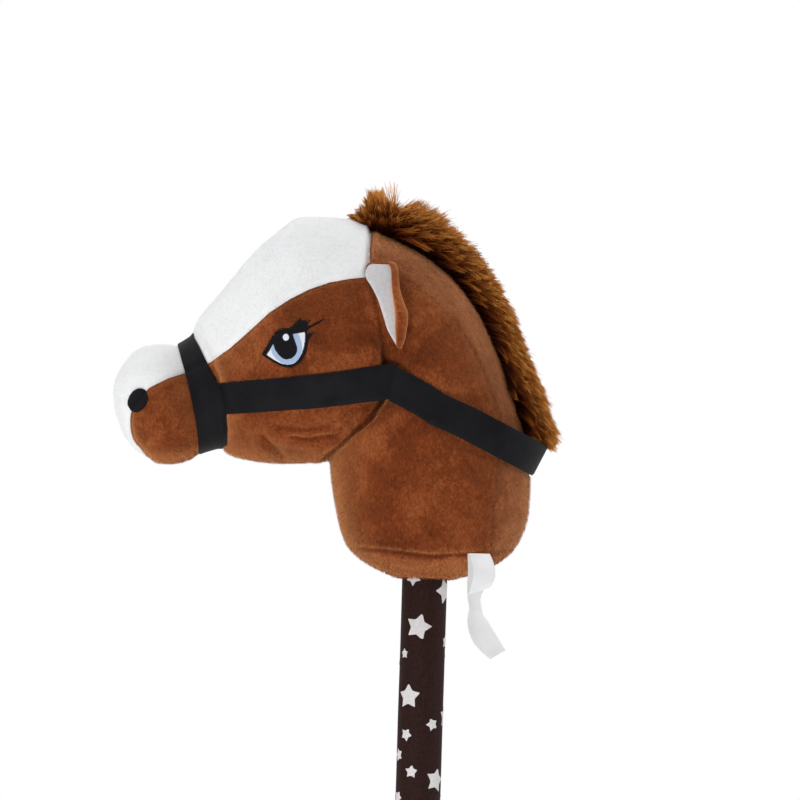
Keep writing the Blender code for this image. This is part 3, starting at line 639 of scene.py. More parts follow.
NOSEBAND_STEPS = 120
NOSEBAND_LENGTH = 200
NOSEBAND_FRONT = (
    (-156, 146), (-152.3, 133.3), (-148.4, 121.4), (-145.7, 112.5), (-142.9, 101.8), (-140.2, 89.8),
    (-138.7, 80.3), (-138.3, 70.1), (-138.3, 60),
)
NOSEBAND_REAR = (
    (-145, 146), (-142.6, 139), (-139.1, 133.1), (-134.7, 124.8), (-130.9, 118.3), (-127.1, 112.5),
    (-123.8, 104.2), (-121.8, 96.4), (-120.9, 87.4), (-121.2, 78.5), (-124.1, 74.1), (-126, 60),
)


def make_noseband(tree):
    top, low = Vector((-147.5, 136)), Vector((-131, 70))
    centre, up = (top + low) / 2, (top - low).normalized()
    along = Vector((up.y, -up.x))
    rows, lengths = [], []
    for step, turn in enumerate(turns(NOSEBAND_STEPS)):
        way = Vector((up.x * math.cos(turn), math.sin(turn), up.y * math.cos(turn)))
        row = []
        for index in range(WEB_COLUMNS):
            across = index / (WEB_COLUMNS - 1)
            shift = 0.0
            for _ in range(3):
                start = centre + along * shift
                hit = tree.ray_cast(world(start.x, start.y), way)[0]
                height = hit.z / MM - NECK_UNDERSIDE / MM
                x = line_at(NOSEBAND_FRONT, height) * (1 - across) + line_at(NOSEBAND_REAR, height) * across
                shift += (x - hit.x / MM) * along.x * 0.9
            row.append((hit + way * WEB_GAP * MM, way))
        rows.append(row)
        lengths.append(step * NOSEBAND_LENGTH / NOSEBAND_STEPS)
    obj = webbing_strip("noseband_strap", rows, lengths, closed=True)
    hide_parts("noseband")


STRAP_TOP = (
    (-131, 112.2), (-127.1, 112.5), (-108.5, 114.5), (-84.6, 117.4), (-66.7, 119.8), (-48.8, 122.7),
    (-30.9, 126.2), (-20.5, 127),
)
STRAP_LOW = (
    (-128, 93.8), (-121.7, 94), (-107.9, 95.1), (-84, 97.6), (-66, 99.4), (-42.1, 103.1), (-30, 105),
    (-22.8, 106.1),
)
# The strap spans the hollow behind the cheek: where it lies taut, and how far out it is sewn at its rear end
STRAP_TAUT_FROM = -62
STRAP_HOLLOW_FROM = -95
STRAP_END_OUT = 58.6
# Its front end tucks under the noseband
STRAP_TUCK_FROM = -122


def make_cheek_straps(cast):
    top, low = spline_rows(STRAP_TOP, 10), spline_rows(STRAP_LOW, 10)
    for side, word in ((-1, "left"), (1, "right")):
        rows, lengths = [], []
        for number, (above, below) in enumerate(zip(top, low)):
            row = []
            for index in range(WEB_COLUMNS):
                x, z = above + (below - above) * index / (WEB_COLUMNS - 1)
                reach = abs(cast(x, z, side)[0].y) / MM + WEB_GAP
                if x > STRAP_HOLLOW_FROM:
                    reach = max(reach, STRAP_END_OUT - max(0.0, STRAP_TAUT_FROM - x) * 0.35)
                under = 1.1 * max(0.0, 1 - (x + 131) / 9) if x < STRAP_TUCK_FROM else 0.0
                row.append((world(x, z, side * (reach - under) * MM), Vector((0, side, 0))))
            rows.append(row)
            lengths.append(number * 1.6)
        obj = webbing_strip("cheek_strap_webbing_" + word, rows, lengths)
        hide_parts("cheek_strap_" + word)


REIN_PIVOT = (-16, 112)
REIN_SLOPE = 25.9
REIN_HALF_WIDTH = 60.45
REIN_REACH = 91.4
REIN_STRAIGHT = 15
REIN_START = -11
REIN_FRONT = -23.4
REIN_TURN_STEPS = 96


def make_rein():
    """One loop round the back of the neck, a little wavy where it spans the hollow behind the cheek."""
    slope = math.radians(REIN_SLOPE)
    along = Vector((math.cos(slope), 0, -math.sin(slope)))
    across = Vector((math.sin(slope), 0, math.cos(slope)))
    pivot = world(*REIN_PIVOT)
    straight = np.linspace(REIN_START, REIN_STRAIGHT, 14)
    path = [(run, -REIN_HALF_WIDTH, 0, -1) for run in straight[:-1]]
    for step in range(REIN_TURN_STEPS + 1):
        turn = -math.pi / 2 + math.pi * step / REIN_TURN_STEPS
        run = signed_power(math.cos(turn), 2 / ROUNDNESS) * (REIN_REACH - REIN_STRAIGHT)
        out = signed_power(math.sin(turn), 2 / ROUNDNESS) * REIN_HALF_WIDTH
        power = 2 - 2 / ROUNDNESS
        path.append((
            run + REIN_STRAIGHT, out, abs(math.cos(turn)) ** power, signed_power(math.sin(turn), power),
        ))
    path += [(run, REIN_HALF_WIDTH, 0, 1) for run in np.linspace(REIN_STRAIGHT, REIN_START, 14)[1:]]
    rows, lengths, length = [], [], 0.0
    for number, (run, out, away, aside) in enumerate(path):
        if number:
            length += math.hypot(run - path[number - 1][0], out - path[number - 1][1])
        normal = (along * away + Vector((0, aside, 0))).normalized()
        row = []
        for index in range(WEB_COLUMNS):
            height = WEB * (0.5 - index / (WEB_COLUMNS - 1))
            dip = 1.1 * math.exp(-((run - 25) / 10) ** 2)
            spot = pivot + (across * (height - dip) + along * run) * MM
            if run < REIN_STRAIGHT and abs(out) == REIN_HALF_WIDTH:
                front = (REIN_FRONT + 0.145 * height - REIN_PIVOT[0]) / along.x - height * across.x / along.x
                share = (run - REIN_START) * (REIN_STRAIGHT - front) / (REIN_STRAIGHT - REIN_START)
                spot = pivot + (across * height + along * (front + share)) * MM
            ripple = 0.35 * math.sin(run / 9 + height / 14) * (1 if abs(run) < 70 else 0.3)
            row.append((spot + Vector((0, out * MM, 0)) + normal * max(0.0, ripple) * MM, normal))
        rows.append(row)
        lengths.append(length)
    obj = webbing_strip("rein_strap", rows, lengths)
    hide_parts("rein")


# Embroidery: how wide the rounded rim of a patch is, and how far its very edge sinks into the pile

STITCH_RIM = 0.55
STITCH_SUNK = 0.45


def patch_grid(outline, spacing):
    """A flat grid that fills an outline: its points, its faces and each point's distance from the rim."""
    outline = [tuple(spot) for spot in outline]
    low, high = np.min(outline, 0) - spacing, np.max(outline, 0) + spacing
    xs, zs = (np.arange(first, last + spacing, spacing) for first, last in zip(low, high))
    grid = np.array([(x, z) for z in zs for x in xs])
    wide = len(xs)
    cells = np.array([
        (first, first + 1, first + wide + 1, first + wide)
        for row in range(len(zs) - 1) for first in range(row * wide, row * wide + wide - 1)
    ])
    kept = cells[inside(grid[cells].mean(1), outline)]
    used, index = np.unique(kept, return_inverse=True)
    kept, spots = index.reshape(-1, 4), grid[used]
    pairs = np.sort(np.vstack([kept[:, [0, 1]], kept[:, [1, 2]], kept[:, [2, 3]], kept[:, [3, 0]]]), 1)
    lone, times = np.unique(pairs, axis=0, return_counts=True)
    rim = np.unique(lone[times == 1])
    gap, near = nearest_on_line(spots, outline, closed=True)
    spots[rim] = near[rim]
    gap[rim] = 0
    return spots, kept, gap


def stitched(name, outline, side, base, height, material, angle, nodes, cast, spacing=0.5):
    """A patch of satin stitch on the plush: an outline in the side view, raised and rounded at its rim."""
    spots, kept, gap = patch_grid(outline, spacing)
    points = []
    for (x, z), deep in zip(spots, gap):
        hit, normal = cast(x, z, side)
        rise = base + height * math.sqrt(1 - (1 - min(deep / STITCH_RIM, 1)) ** 2)
        rise -= STITCH_SUNK if deep == 0 else 0
        points.append(hit + normal * rise * MM)
    obj = mesh_object(name, points, kept if side < 0 else kept[:, ::-1], material)
    turn = math.radians(angle)
    mark(obj, "stitch", [
        (x * math.cos(turn) + z * math.sin(turn), z * math.cos(turn) - x * math.sin(turn), 0)
        for x, z in spots
    ])
    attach(obj, "head_and_stick")
    if nodes:
        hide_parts(*nodes)


def oval(centre_x, centre_z, half_width, half_height, tilt, steps=40):
    turn = math.radians(tilt)
    made = []
    for angle in turns(steps):
        across, up = half_width * math.cos(angle), half_height * math.sin(angle)
        made.append((
            centre_x + across * math.cos(turn) + up * math.sin(turn),
            centre_z - across * math.sin(turn) + up * math.cos(turn),
        ))
    return made


NOSTRIL = (-174.6, 100.6, 5.6, 7.6, 24)
EYE_OUTLINE = (
    (-101.9, 130.2), (-100.2, 132.9), (-98.2, 136.9), (-96.5, 140.3), (-94.8, 142.8), (-93.0, 145.0),
    (-91.3, 146.2), (-88.9, 146.5), (-86.5, 146.4), (-84.4, 147.5), (-82.7, 149.2), (-80.9, 151.0),
    (-78.9, 152.8), (-78.1, 151.3), (-76.7, 151.9), (-75.5, 151.7), (-75.2, 150.7), (-73.6, 151.9),
    (-72.6, 151.7), (-74.0, 149.7), (-74.8, 148.4), (-72.2, 149.1), (-68.6, 151.0), (-64.3, 153.5),
    (-64.5, 152.4), (-68.6, 149.4), (-71.8, 147.6), (-73.6, 146.5), (-74.8, 145.0), (-75.2, 143.8),
    (-72.7, 144.1), (-69.5, 145.2), (-71.5, 143.0), (-73.2, 140.6), (-73.9, 138.3), (-74.3, 134.4),
    (-75.8, 130.1), (-77.9, 126.4), (-81.0, 123.9), (-83.9, 122.8), (-87.2, 122.9), (-91.2, 124.1),
    (-95.5, 126.4), (-99.1, 128.4),
)
EYE_WHITE = (
    (-98.7, 130.0), (-96.9, 132.7), (-95.2, 136.1), (-92.9, 140.1), (-88.8, 142.6), (-83.4, 143.1),
    (-79.8, 143.8), (-75.9, 144.7), (-75.4, 142.1), (-75.6, 139.1), (-76.1, 135.5), (-77.1, 131.9),
    (-79.3, 127.6), (-82.2, 125.1), (-85.8, 124.3), (-90.0, 125.0), (-93.7, 126.8), (-96.7, 128.7),
)
EYE_IRIS = (
    (-94.9, 136.6), (-96.2, 133.4), (-95.1, 130.4), (-92.8, 127.5), (-89.7, 125.3), (-86.1, 124.4),
    (-82.5, 125.2), (-79.4, 127.6), (-77.7, 130.9), (-77.1, 134.9), (-77.7, 138.7), (-78.9, 141.7),
    (-80.0, 143.4), (-83.1, 143.1), (-87.6, 142.3), (-91.7, 140.4),
)
EYE_PUPIL = (
    (-94.7, 136.4), (-93.6, 133.1), (-91.4, 130.2), (-88.9, 128.0), (-86.5, 127.4), (-83.5, 128.1),
    (-81.2, 129.9), (-80.0, 132.4), (-79.9, 134.8), (-80.8, 137.7), (-82.1, 140.7), (-83.1, 143.7),
    (-88.2, 144.4), (-93.0, 142.5), (-94.7, 139.1),
)
EYE_GLINT = (-87.0, 140.8, 2.1, 2.3, 10)


def make_embroidery(cast):
    for side, word in ((-1, "left"), (1, "right")):
        stitched(
            "nostril_stitching_" + word, oval(*NOSTRIL), side, 0.2, 1.0, BLACK_THREAD, 70,
            ["nostril_" + word], cast,
        )
        for name, outline, base, height, material, angle, node_name in (
            ("outline", EYE_OUTLINE, 0.1, 0.7, BLACK_THREAD, 40, ["eye_outline_" + word]),
            ("white", EYE_WHITE, 0.55, 0.55, WHITE_THREAD, 10, ["eye_white_" + word]),
            ("iris", EYE_IRIS, 0.9, 0.45, BLUE_THREAD, 0, ["eye_iris_" + word]),
            ("pupil", EYE_PUPIL, 1.2, 0.4, BLACK_THREAD, 0, ["eye_pupil_" + word]),
            ("glint", oval(*EYE_GLINT), 1.5, 0.35, WHITE_THREAD, 0, []),
        ):
            stitched(
                f"eye_{name}_stitching_{word}", outline, side, base, height, material, angle, node_name, cast,
                0.35,
            )


# Mane: point of the crest under the pile, tip of the pile above it, half width

MANE_ROWS = (
    (-45, 208.8, -50, 214.5, 6), (-41, 207.5, -46.5, 219.5, 10), (-37, 206, -43, 226.5, 14),
    (-32, 203.5, -38, 231.5, 17), (-26, 201, -32.5, 232, 18), (-19, 198, -24.5, 223.5, 18),
    (-10, 194, -11.5, 227, 18), (0, 189, 4, 220, 18), (9, 183.2, 16.5, 207, 18), (18, 175, 28.5, 195, 18),
    (26, 164.5, 38.5, 179.5, 18), (32, 154, 47.5, 164.5, 18), (37.5, 143, 54, 149, 18),
    (42, 131, 60, 134, 17), (45.5, 121, 65.5, 121, 17), (49, 112, 70.5, 110, 16), (51.5, 104, 74, 99, 15),
    (53.5, 97, 78, 90, 14), (55, 92, 80, 84, 11), (56, 89, 76, 80, 8),
)
MANE_TUFTS = 1400
MANE_PIECES = 6
STRANDS_PER_TUFT = 20
STRAND_STEPS = 7
STRAND_SIDES = 3
UNDERFUR_SIDES = 20
# How far along the crest a strand's tip lies beyond its root: x of the crest, distance
MANE_SWEEP = (
    (-45, -4), (-38, -3), (-33, 0), (-27, 2), (-22, 12), (-14, 16), (10, 14), (30, 11), (45, 9), (56, 6),
)
# Fine pale hairs that stand up from the whorl behind the forelock
WHORL = (-24.8, 216)
WISPS = (
    (-31.3, 235), (-30, 233.5), (-28.6, 236), (-26.5, 236.3), (-25.6, 233), (-24.3, 235), (-33.5, 232.5),
    (-22.8, 231),
)


def mane_material():
    """Each strand is dark at its root and golden at its tip, partly the fur's own colour and partly painted
    shade at the roots and painted light at the tips; tufts differ a little at random, and tufts on the crown
    are painted lighter than those on the sides.
    """
    def colour(tree):
        along, own, tuft = node(tree, "SeparateXYZ", Vector=attribute(tree, "strand", "Vector")).outputs
        level = shifted(tree, shifted(tree, along, own, 0.5, 0.3), tuft, 0.5, 0.5)
        return ramp(tree, level, (
            (0.05, (0.035, 0.006, 0.001)), (0.36, (0.15, 0.031, 0.004)), (0.64, (0.37, 0.107, 0.012)),
            (0.95, (0.82, 0.38, 0.085)),
        ))
    return finish("mane_fibre", colour, 0.5, Specular_IOR_Level=0.07)


def mane_frame(rows, share):
    """Crest point, pile vector, crest direction and half width at a share of the mane's length."""
    place = share * (len(rows) - 1)
    low = int(min(place, len(rows) - 2))
    row = rows[low] + (rows[low + 1] - rows[low]) * (place - low)
    run = rows[low + 1] - rows[low]
    crest, tip = world(row[0], row[1]), world(row[2], row[3])
    return crest, tip - crest, Vector((run[0], 0, run[1])).normalized(), row[4]


def make_mane(tree):
    random = np.random.default_rng(SEED)
    rows = spline_rows(MANE_ROWS, 12)
    lengths = np.concatenate([[0], np.cumsum(np.hypot(*(rows[1:, :2] - rows[:-1, :2]).T))])
    whole, places = lengths[-1], np.linspace(0, 1, len(lengths))
    groups = [([], []) for _ in range(MANE_PIECES)]
    for tuft in range(MANE_TUFTS):
        gone = (tuft + random.random()) / MANE_TUFTS * whole
        place = float(np.interp(gone, lengths, places))
        crest, pile, _, half = mane_frame(rows, place)
        sweep = float(np.interp(crest.x / MM, *np.array(MANE_SWEEP).T)) * random.uniform(0.6, 1.2)
        tip_place = float(np.interp(gone + sweep, lengths, places))
        tip_crest, tip_pile, tip_run, _ = mane_frame(rows, tip_place)
        across = random.uniform(-1, 1)
        # A tuft's tone: partly random, and partly painted light that makes tufts on the crown lighter and
        # those on the sides darker.
        tuft_tone_and_crown_light = 0.9 * random.random() + 1.1 * (1 - abs(across)) - 0.75
        lean = math.radians(64) * across * abs(across) ** 0.25 + random.normal(0, 0.18)
        long = tip_pile.length * (1 - 0.2 * across ** 2) * random.uniform(0.88, 1.03)
        bend = Vector(random.normal(0, 0.07, 3)) * long
        up, tip_up = pile.normalized(), tip_pile.normalized()
        start = crest + Vector((0, across * half * MM, 0)) + up * 12 * MM
        root = tree.ray_cast(start, -up)[0] or crest
        middle = Vector((0, across * half * MM * 0.5, 0))
        way = tip_up * math.cos(lean) + Vector((0, math.sin(lean), 0))
        tuft_tip = tip_crest + middle + way * long + tip_run * random.normal(0, 2) * MM
        points, marks = groups[tuft * MANE_PIECES // MANE_TUFTS]
        for _ in range(STRANDS_PER_TUFT):
            own = random.random()
            foot = root + Vector(random.normal(0, 1, 3) * (1.6, 1.6, 1.2)) * MM
            tip = tuft_tip + Vector(random.normal(0, 1, 3)) * (0.018 + 0.03 * own) * long
            tip += (tuft_tip - foot).normalized() * random.uniform(-0.14, 0.02) * long
            knee = foot + (up * math.cos(lean * 0.8) + Vector((0, math.sin(lean * 0.8), 0))) * long * 0.55
            knee += bend + Vector(random.normal(0, 0.03, 3)) * long
            strand_tube(points, marks, foot, knee, tip, random.uniform(0.18, 0.27) * MM, random, own, tuft_tone_and_crown_light)
    points, marks = groups[0]
    for tip_x, tip_z in WISPS:
        for _ in range(3):
            aside = random.normal(0, 2.5)
            foot, tip = world(*WHORL, aside * MM), world(tip_x, tip_z, (aside * 2 + random.normal(0, 2)) * MM)
            tip += Vector(random.normal(0, 0.7, 3)) * MM
            knee = (foot + tip) / 2 + Vector(random.normal(0, 0.8, 3)) * MM
            # The wisps get the crown's lightest tone: painted light.
            strand_tube(points, marks, foot, knee, tip, 0.2 * MM, random, 1.0, 1.0)
    strand, fibre = np.array(tube_faces(STRAND_STEPS, STRAND_SIDES)), mane_material()
    for number, (points, marks) in enumerate(groups):
        firsts = np.arange(0, len(points), STRAND_STEPS * STRAND_SIDES)
        faces = (strand[None] + firsts[:, None, None]).reshape(-1, 4)
        obj = mesh_object(f"mane_fibres_{number + 1}", points, faces, fibre)
        mark(obj, "strand", marks)
        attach(obj, "head_and_stick")
    make_underfur(rows)


def strand_tube(points, marks, foot, knee, tip, thick, random, own, tuft_tone_and_crown_light):
    """Adds one tapering strand along a bent line."""
    side_way = (tip - foot).cross(Vector(random.normal(0, 1, 3))).normalized()
    other = (tip - foot).cross(side_way).normalized()
    for step in range(STRAND_STEPS):
        u = step / (STRAND_STEPS - 1)
        spot = foot * (1 - u) ** 2 + knee * (2 * u * (1 - u)) + tip * u * u
        radius = thick * (1 - 0.65 * u ** 3)
        for turn in turns(STRAND_SIDES):
            points.append(spot + (side_way * math.cos(turn) + other * math.sin(turn)) * radius)
            marks.append((u, own, tuft_tone_and_crown_light))


def make_underfur(rows):
    """The dense dark pile under the visible strands, dark partly in its own colour and partly as painted
    shade deep in the mane.
    """
    points, rows = [], rows[::4]
    for crest_x, crest_z, tip_x, tip_z, half in rows:
        crest = world(crest_x, crest_z)
        out = (world(tip_x, tip_z) - crest) * 0.5
        for turn in turns(UNDERFUR_SIDES):
            points.append(crest + out * math.cos(turn) + Vector((0, half * 0.85 * MM * math.sin(turn), 0)))
    last = len(points) - UNDERFUR_SIDES
    ends = [range(UNDERFUR_SIDES), range(len(points) - 1, last - 1, -1)]
    colour = clouds(900, 3, 0.7, (0.3, (0.02, 0.006, 0.002)), (0.7, (0.07, 0.022, 0.006)))
    material = finish("underfur", colour, 0.9, grain(1200, 2, 0.7), 0.6, 0.001)
    obj = mesh_object("mane_underfur", points, tube_faces(len(rows), UNDERFUR_SIDES) + ends, material)
    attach(obj, "head_and_stick")
    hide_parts("mane_pile")


# Ear: height, front edge, where the fold's free edge lies, rear bend, how far the fold stands out

EAR_ROWS = (
    (188.3, -35, -29, -27, 1.5), (187.2, -39, -28, -24.6, 2.4), (185, -40.7, -26.1, -23.2, 3.2),
    (182, -41.1, -25.1, -22.6, 3.9), (178.2, -40.9, -24.8, -22.2, 4.4), (172.3, -37.1, -24.3, -21.4, 5),
    (165.2, -33.3, -23.6, -19.1, 6.2), (158.1, -30.7, -22.9, -16.3, 6.9), (152, -28.6, -22.5, -16, 7),
    (147.8, -27.2, -22.2, -16.5, 6.3), (141.5, -23.6, -21.3, -17.3, 4.6), (138.5, -21.6, -20.6, -18.6, 3),
    (136.5, -20.6, -20, -18.9, 1.6),
)
LINING_ROWS = (
    (186.4, -37.4, -28.5, -24, 2.7), (185.7, -39, -27.1, -23.5, 2.9), (184.4, -40.3, -25.9, -23, 3.3),
    *EAR_ROWS[3:12], (137.6, -21, -20.3, -18.9, 2.2),
)
# Between the ear and the plush, and between the ear's free edge and its front
EAR_GAP = 1.9
# Width of a cloth's rounded rim, and the share of the strip behind the fold that lies straight
EAR_RIM = 1.3
EAR_STRIP = 0.3
# Distances of each cloth's two faces from the ear's middle surface
EAR_CLOTH = (-1.1, 0.2)
EAR_LINING = (0.1, 1.6)
EAR_FLAT, EAR_ROUND, EAR_BACK = 12, 8, 14


def ear_path(front, edge, bend, depth):
    """The ear's cross-section: flat, round the rear bend and back over to the free edge. (x, depth) in mm."""
    radius = depth / 2
    path = [(front + (bend - radius - front) * step / EAR_FLAT, 0.0) for step in range(EAR_FLAT + 1)]
    for step in range(1, EAR_ROUND):
        turn = math.pi * step / EAR_ROUND
        path.append((bend - radius + radius * math.sin(turn), radius * (1 - math.cos(turn))))
    for step in range(EAR_BACK + 1):
        share = step / EAR_BACK
        turn = math.pi / 2 * min(1.0, share / (1 - EAR_STRIP))
        along = math.sin(turn) * (1 - EAR_STRIP) + EAR_STRIP * max(0.0, (share - 1 + EAR_STRIP) / EAR_STRIP)
        rise = EAR_GAP + (depth - EAR_GAP) * math.cos(turn) if depth > EAR_GAP else depth
        path.append((bend - radius + (edge - bend + radius) * along, rise))
    return np.array(path)


def ear_sheet(name, side, seat, rows, columns, faces_at, material, body, node_name):
    """One cloth of the ear between two distances from its middle surface, with a rounded rim."""
    (inner, outer), near, far = faces_at, [], []
    for height, front, edge, bend, depth in rows:
        path = ear_path(front, edge, bend, depth)
        run = np.gradient(path, axis=0)
        run /= np.hypot(*run.T)[:, None]
        walked = np.concatenate([[0], np.cumsum(np.hypot(*np.diff(path, axis=0).T))])
        for column in range(columns):
            (x, out), (run_x, run_out) = path[column], run[column]
            gap = min(
                abs(height - rows[0][0]), abs(height - rows[-1][0]),
                walked[column], walked[columns - 1] - walked[column],
            )
            half = (outer - inner) / 2 * math.sqrt(max(0.0, 1 - max(0.0, 1 - gap / EAR_RIM) ** 2))
            for made, shift in ((near, (inner + outer) / 2 - half), (far, (inner + outer) / 2 + half)):
                off = seat(height) + out + run_x * shift
                made.append(world(x - run_out * shift, height, side * off * MM))
    obj = closed_sheet(name, near, far, len(rows), columns, material)
    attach(obj, body)
    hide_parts(node_name)
    return obj


def closed_sheet(name, near, far, count, wide, material):
    """A thin solid between two grids of points, closed round its rim."""
    offset, faces = count * wide, []
    for row in range(count - 1):
        for column in range(wide - 1):
            a, b = row * wide + column, row * wide + column + 1
            c, d = b + wide, a + wide
            faces += [(a, b, c, d), (offset + a, offset + d, offset + c, offset + b)]
    edge = list(range(wide)) + [row * wide + wide - 1 for row in range(1, count)]
    edge += [(count - 1) * wide + column for column in range(wide - 2, -1, -1)]
    edge += [row * wide for row in range(count - 2, 0, -1)]
    for index, first in enumerate(edge):
        after = edge[(index + 1) % len(edge)]
        faces.append((first, after, offset + after, offset + first))
    return turned_outward(mesh_object(name, near + far, faces, material))


def make_ears(cast):
    rows = spline_rows(EAR_ROWS, 6)
    heights = np.linspace(134, 190, 15)
    widest = []
    for z in heights:
        front, bend = (float(np.interp(-z, -rows[:, 0], rows[:, column])) for column in (1, 3))
        widest.append(max(abs(cast(x, z, -1)[0].y) / MM for x in np.linspace(front, bend, 6)))

    def seat(height):
        return float(np.interp(height, heights, widest)) + EAR_GAP

    lining_rows, columns = spline_rows(LINING_ROWS, 6), EAR_FLAT + EAR_ROUND + EAR_BACK + 1
    lining_columns = EAR_FLAT + EAR_ROUND - 2
    for side, word in ((-1, "left"), (1, "right")):
        body = "ear_" + word
        outer = ear_sheet(
            "ear_plush_" + word, side, seat, rows, columns, EAR_CLOTH, BROWN, body, "ear_outer_" + word,
        )
        # The lining wears the white pile painted darker: painted shade.
        lining = ear_sheet(
            "ear_lining_plush_" + word, side, seat, lining_rows, lining_columns, EAR_LINING, PAINTED_SHADE_LINING, body,
            "ear_lining_" + word,
        )


# Labels: middle x, z, half width, tilt in degrees, how far it stands off, roll of its near edge

SHORT_LABEL = (
    (32.2, 15.5, 6.2, 0, 1.2, 0), (34, 11, 6.4, 1, 2, 0.3), (35.3, 6, 6.6, 3, 3.2, 0.9),
    (35.3, 1, 6.8, 9, 5, 1.6), (34.2, -3, 7, 16, 6.6, 2.2), (32.8, -7, 7, 20, 7.8, 2.4),
)
LONG_LABEL = (
    (31.2, 15.2, 6.2, 0, 0.5, 0), (31.8, 6, 6.2, 2, 0.5, 0), (31, -2, 5.6, -2, 0.6, 0.2),
    (29.7, -10.6, 4, -8, 0.9, 0.8), (30.6, -16, 3.7, 10, 1.4, 1.2), (31, -21, 4.6, 6, 1.8, 1.2),
    (32.4, -25.5, 6.2, 3, 2.2, 1), (34.4, -30.5, 7.1, 8, 2.8, 0.8), (37.4, -36, 7.3, 15, 3.4, 0.6),
    (41.2, -40.8, 6.5, 21, 3.8, 0.4), (45, -44.6, 5.3, 31, 4, 0.2),
)
LABEL_SEAT = 37.13
LABEL_THICK = 0.25
LABEL_COLUMNS = 13


def satin_material(name, shade, bright):
    def relief(tree):
        return wave_at(tree, "Z", stretched(tree, (600, 600, 1500)), Scale=1.0, Distortion=1.0)

    return finish(name, clouds(90, 2, 0.5, (0.3, shade), (0.7, bright)), 0.4, relief, 0.12, 0.0001)


def make_labels():
    # The long label is the same white satin as the short one, painted darker as painted shade under the short
    # label that lies over it.
    for name, control, replaced, length, shade, bright in (
        ("long_satin_label", LONG_LABEL, "label_long", 0.064, (0.62, 0.615, 0.625), (0.69, 0.685, 0.695)),
        ("short_satin_label", SHORT_LABEL, "label_short", 0.0282, (0.76, 0.765, 0.78), (0.82, 0.825, 0.84)),
    ):
        rows, layers = spline_rows(control, 8), ([], [])
        for thick, made in zip((0, LABEL_THICK), layers):
            for x, z, half, tilt, off, roll in rows:
                turn = math.radians(tilt)
                for column in range(LABEL_COLUMNS):
                    across = 2 * column / (LABEL_COLUMNS - 1) - 1
                    out = LABEL_SEAT + off + roll * across ** 2 * (0.5 if across > 0 else 1.4) + thick
                    place = x + across * half * math.cos(turn), z + across * half * math.sin(turn)
                    made.append(world(*place, -out * MM))
        satin = satin_material(name, shade, bright)
        obj = closed_sheet(name, *layers, len(rows), LABEL_COLUMNS, satin)
        obj.data.set_sharp_from_angle(angle=SHARP_FROM)
        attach(obj, "labels")
        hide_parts(replaced)


# Stick

SLEEVE_RADIUS = 13.5
SLEEVE_THICK = 0.5
SLEEVE_LOW = 30.3 * MM
SLEEVE_HIGH = 0.702
# Stars seen in the photograph: distance round the sleeve, height from the neck, size, turn in degrees
SEEN_STARS = (
    (-3, -29.8, 8.4, 3), (-12.2, -46.1, 3.4, 20), (-7.3, -0.4, 5.2, 54), (15.2, -7.9, 8.2, 36),
    (18.2, -38.4, 4.4, 10), (-8, -71.7, 7.8, 18),
)
STAR_WAIST = 0.56
STAR_SPACING = 2.6
STAR_RADIUS = (SLEEVE_RADIUS + 0.16) * MM
# Sizes tried at random places, large ones first
STAR_TRIES = (7.6,) * 60 + (4.2,) * 400


def star(centre_x, centre_z, size, tilt):
    made = []
    for step in range(10):
        turn = math.radians(tilt) + math.pi * step / 5
        reach = size * (1 if step % 2 == 0 else STAR_WAIST)
        made.append((centre_x + reach * math.cos(turn), centre_z + reach * math.sin(turn)))
    return made


def make_stick():
    sides, heights = 96, np.arange(SLEEVE_LOW, SLEEVE_HIGH, 2.5 * MM)
    outer, inner = [], []
    for height in heights:
        for turn in turns(sides):
            way = Vector((math.sin(turn), -math.cos(turn), 0))
            radius = SLEEVE_RADIUS + 0.12 * noise.noise(Vector((way.x * 2, way.y * 2, height * 26)))
            outer.append(way * radius * MM + Vector((0, 0, height)))
            inner.append(way * (radius - SLEEVE_THICK) * MM + Vector((0, 0, height)))
    faces, whole, last = [], len(outer), (len(heights) - 1) * sides
    for side in range(sides):
        after = (side + 1) % sides
        for row in range(0, last, sides):
            low, beside, above, across = row + side, row + after, row + sides + side, row + sides + after
            faces += [
                (low, beside, across, above), (whole + low, whole + above, whole + across, whole + beside),
            ]
        faces += [
            (side, whole + side, whole + after, after),
            (last + side, last + after, whole + last + after, whole + last + side),
        ]
    sleeve = mesh_object("printed_sleeve", outer + inner, faces)

    def relief(tree):
        threads = wave_at(tree, "Z", stretched(tree, (1, 1, 1)), Scale=520, Distortion=1.5)
        return maths(tree, "MULTIPLY_ADD", noise_at(tree, 2400, 2, 0.6), 0.8, threads)

    colour = clouds(700, 3, 0.6, (0.3, (0.013, 0.0045, 0.0035)), (0.75, (0.028, 0.011, 0.009)))
    sleeve.data.materials.append(
        finish("sleeve_print", colour, 0.62, relief, 0.25, 0.0002, Specular_IOR_Level=0.08)
    )
    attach(sleeve, "head_and_stick")
    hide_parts("stick_sleeve")
    make_stars()


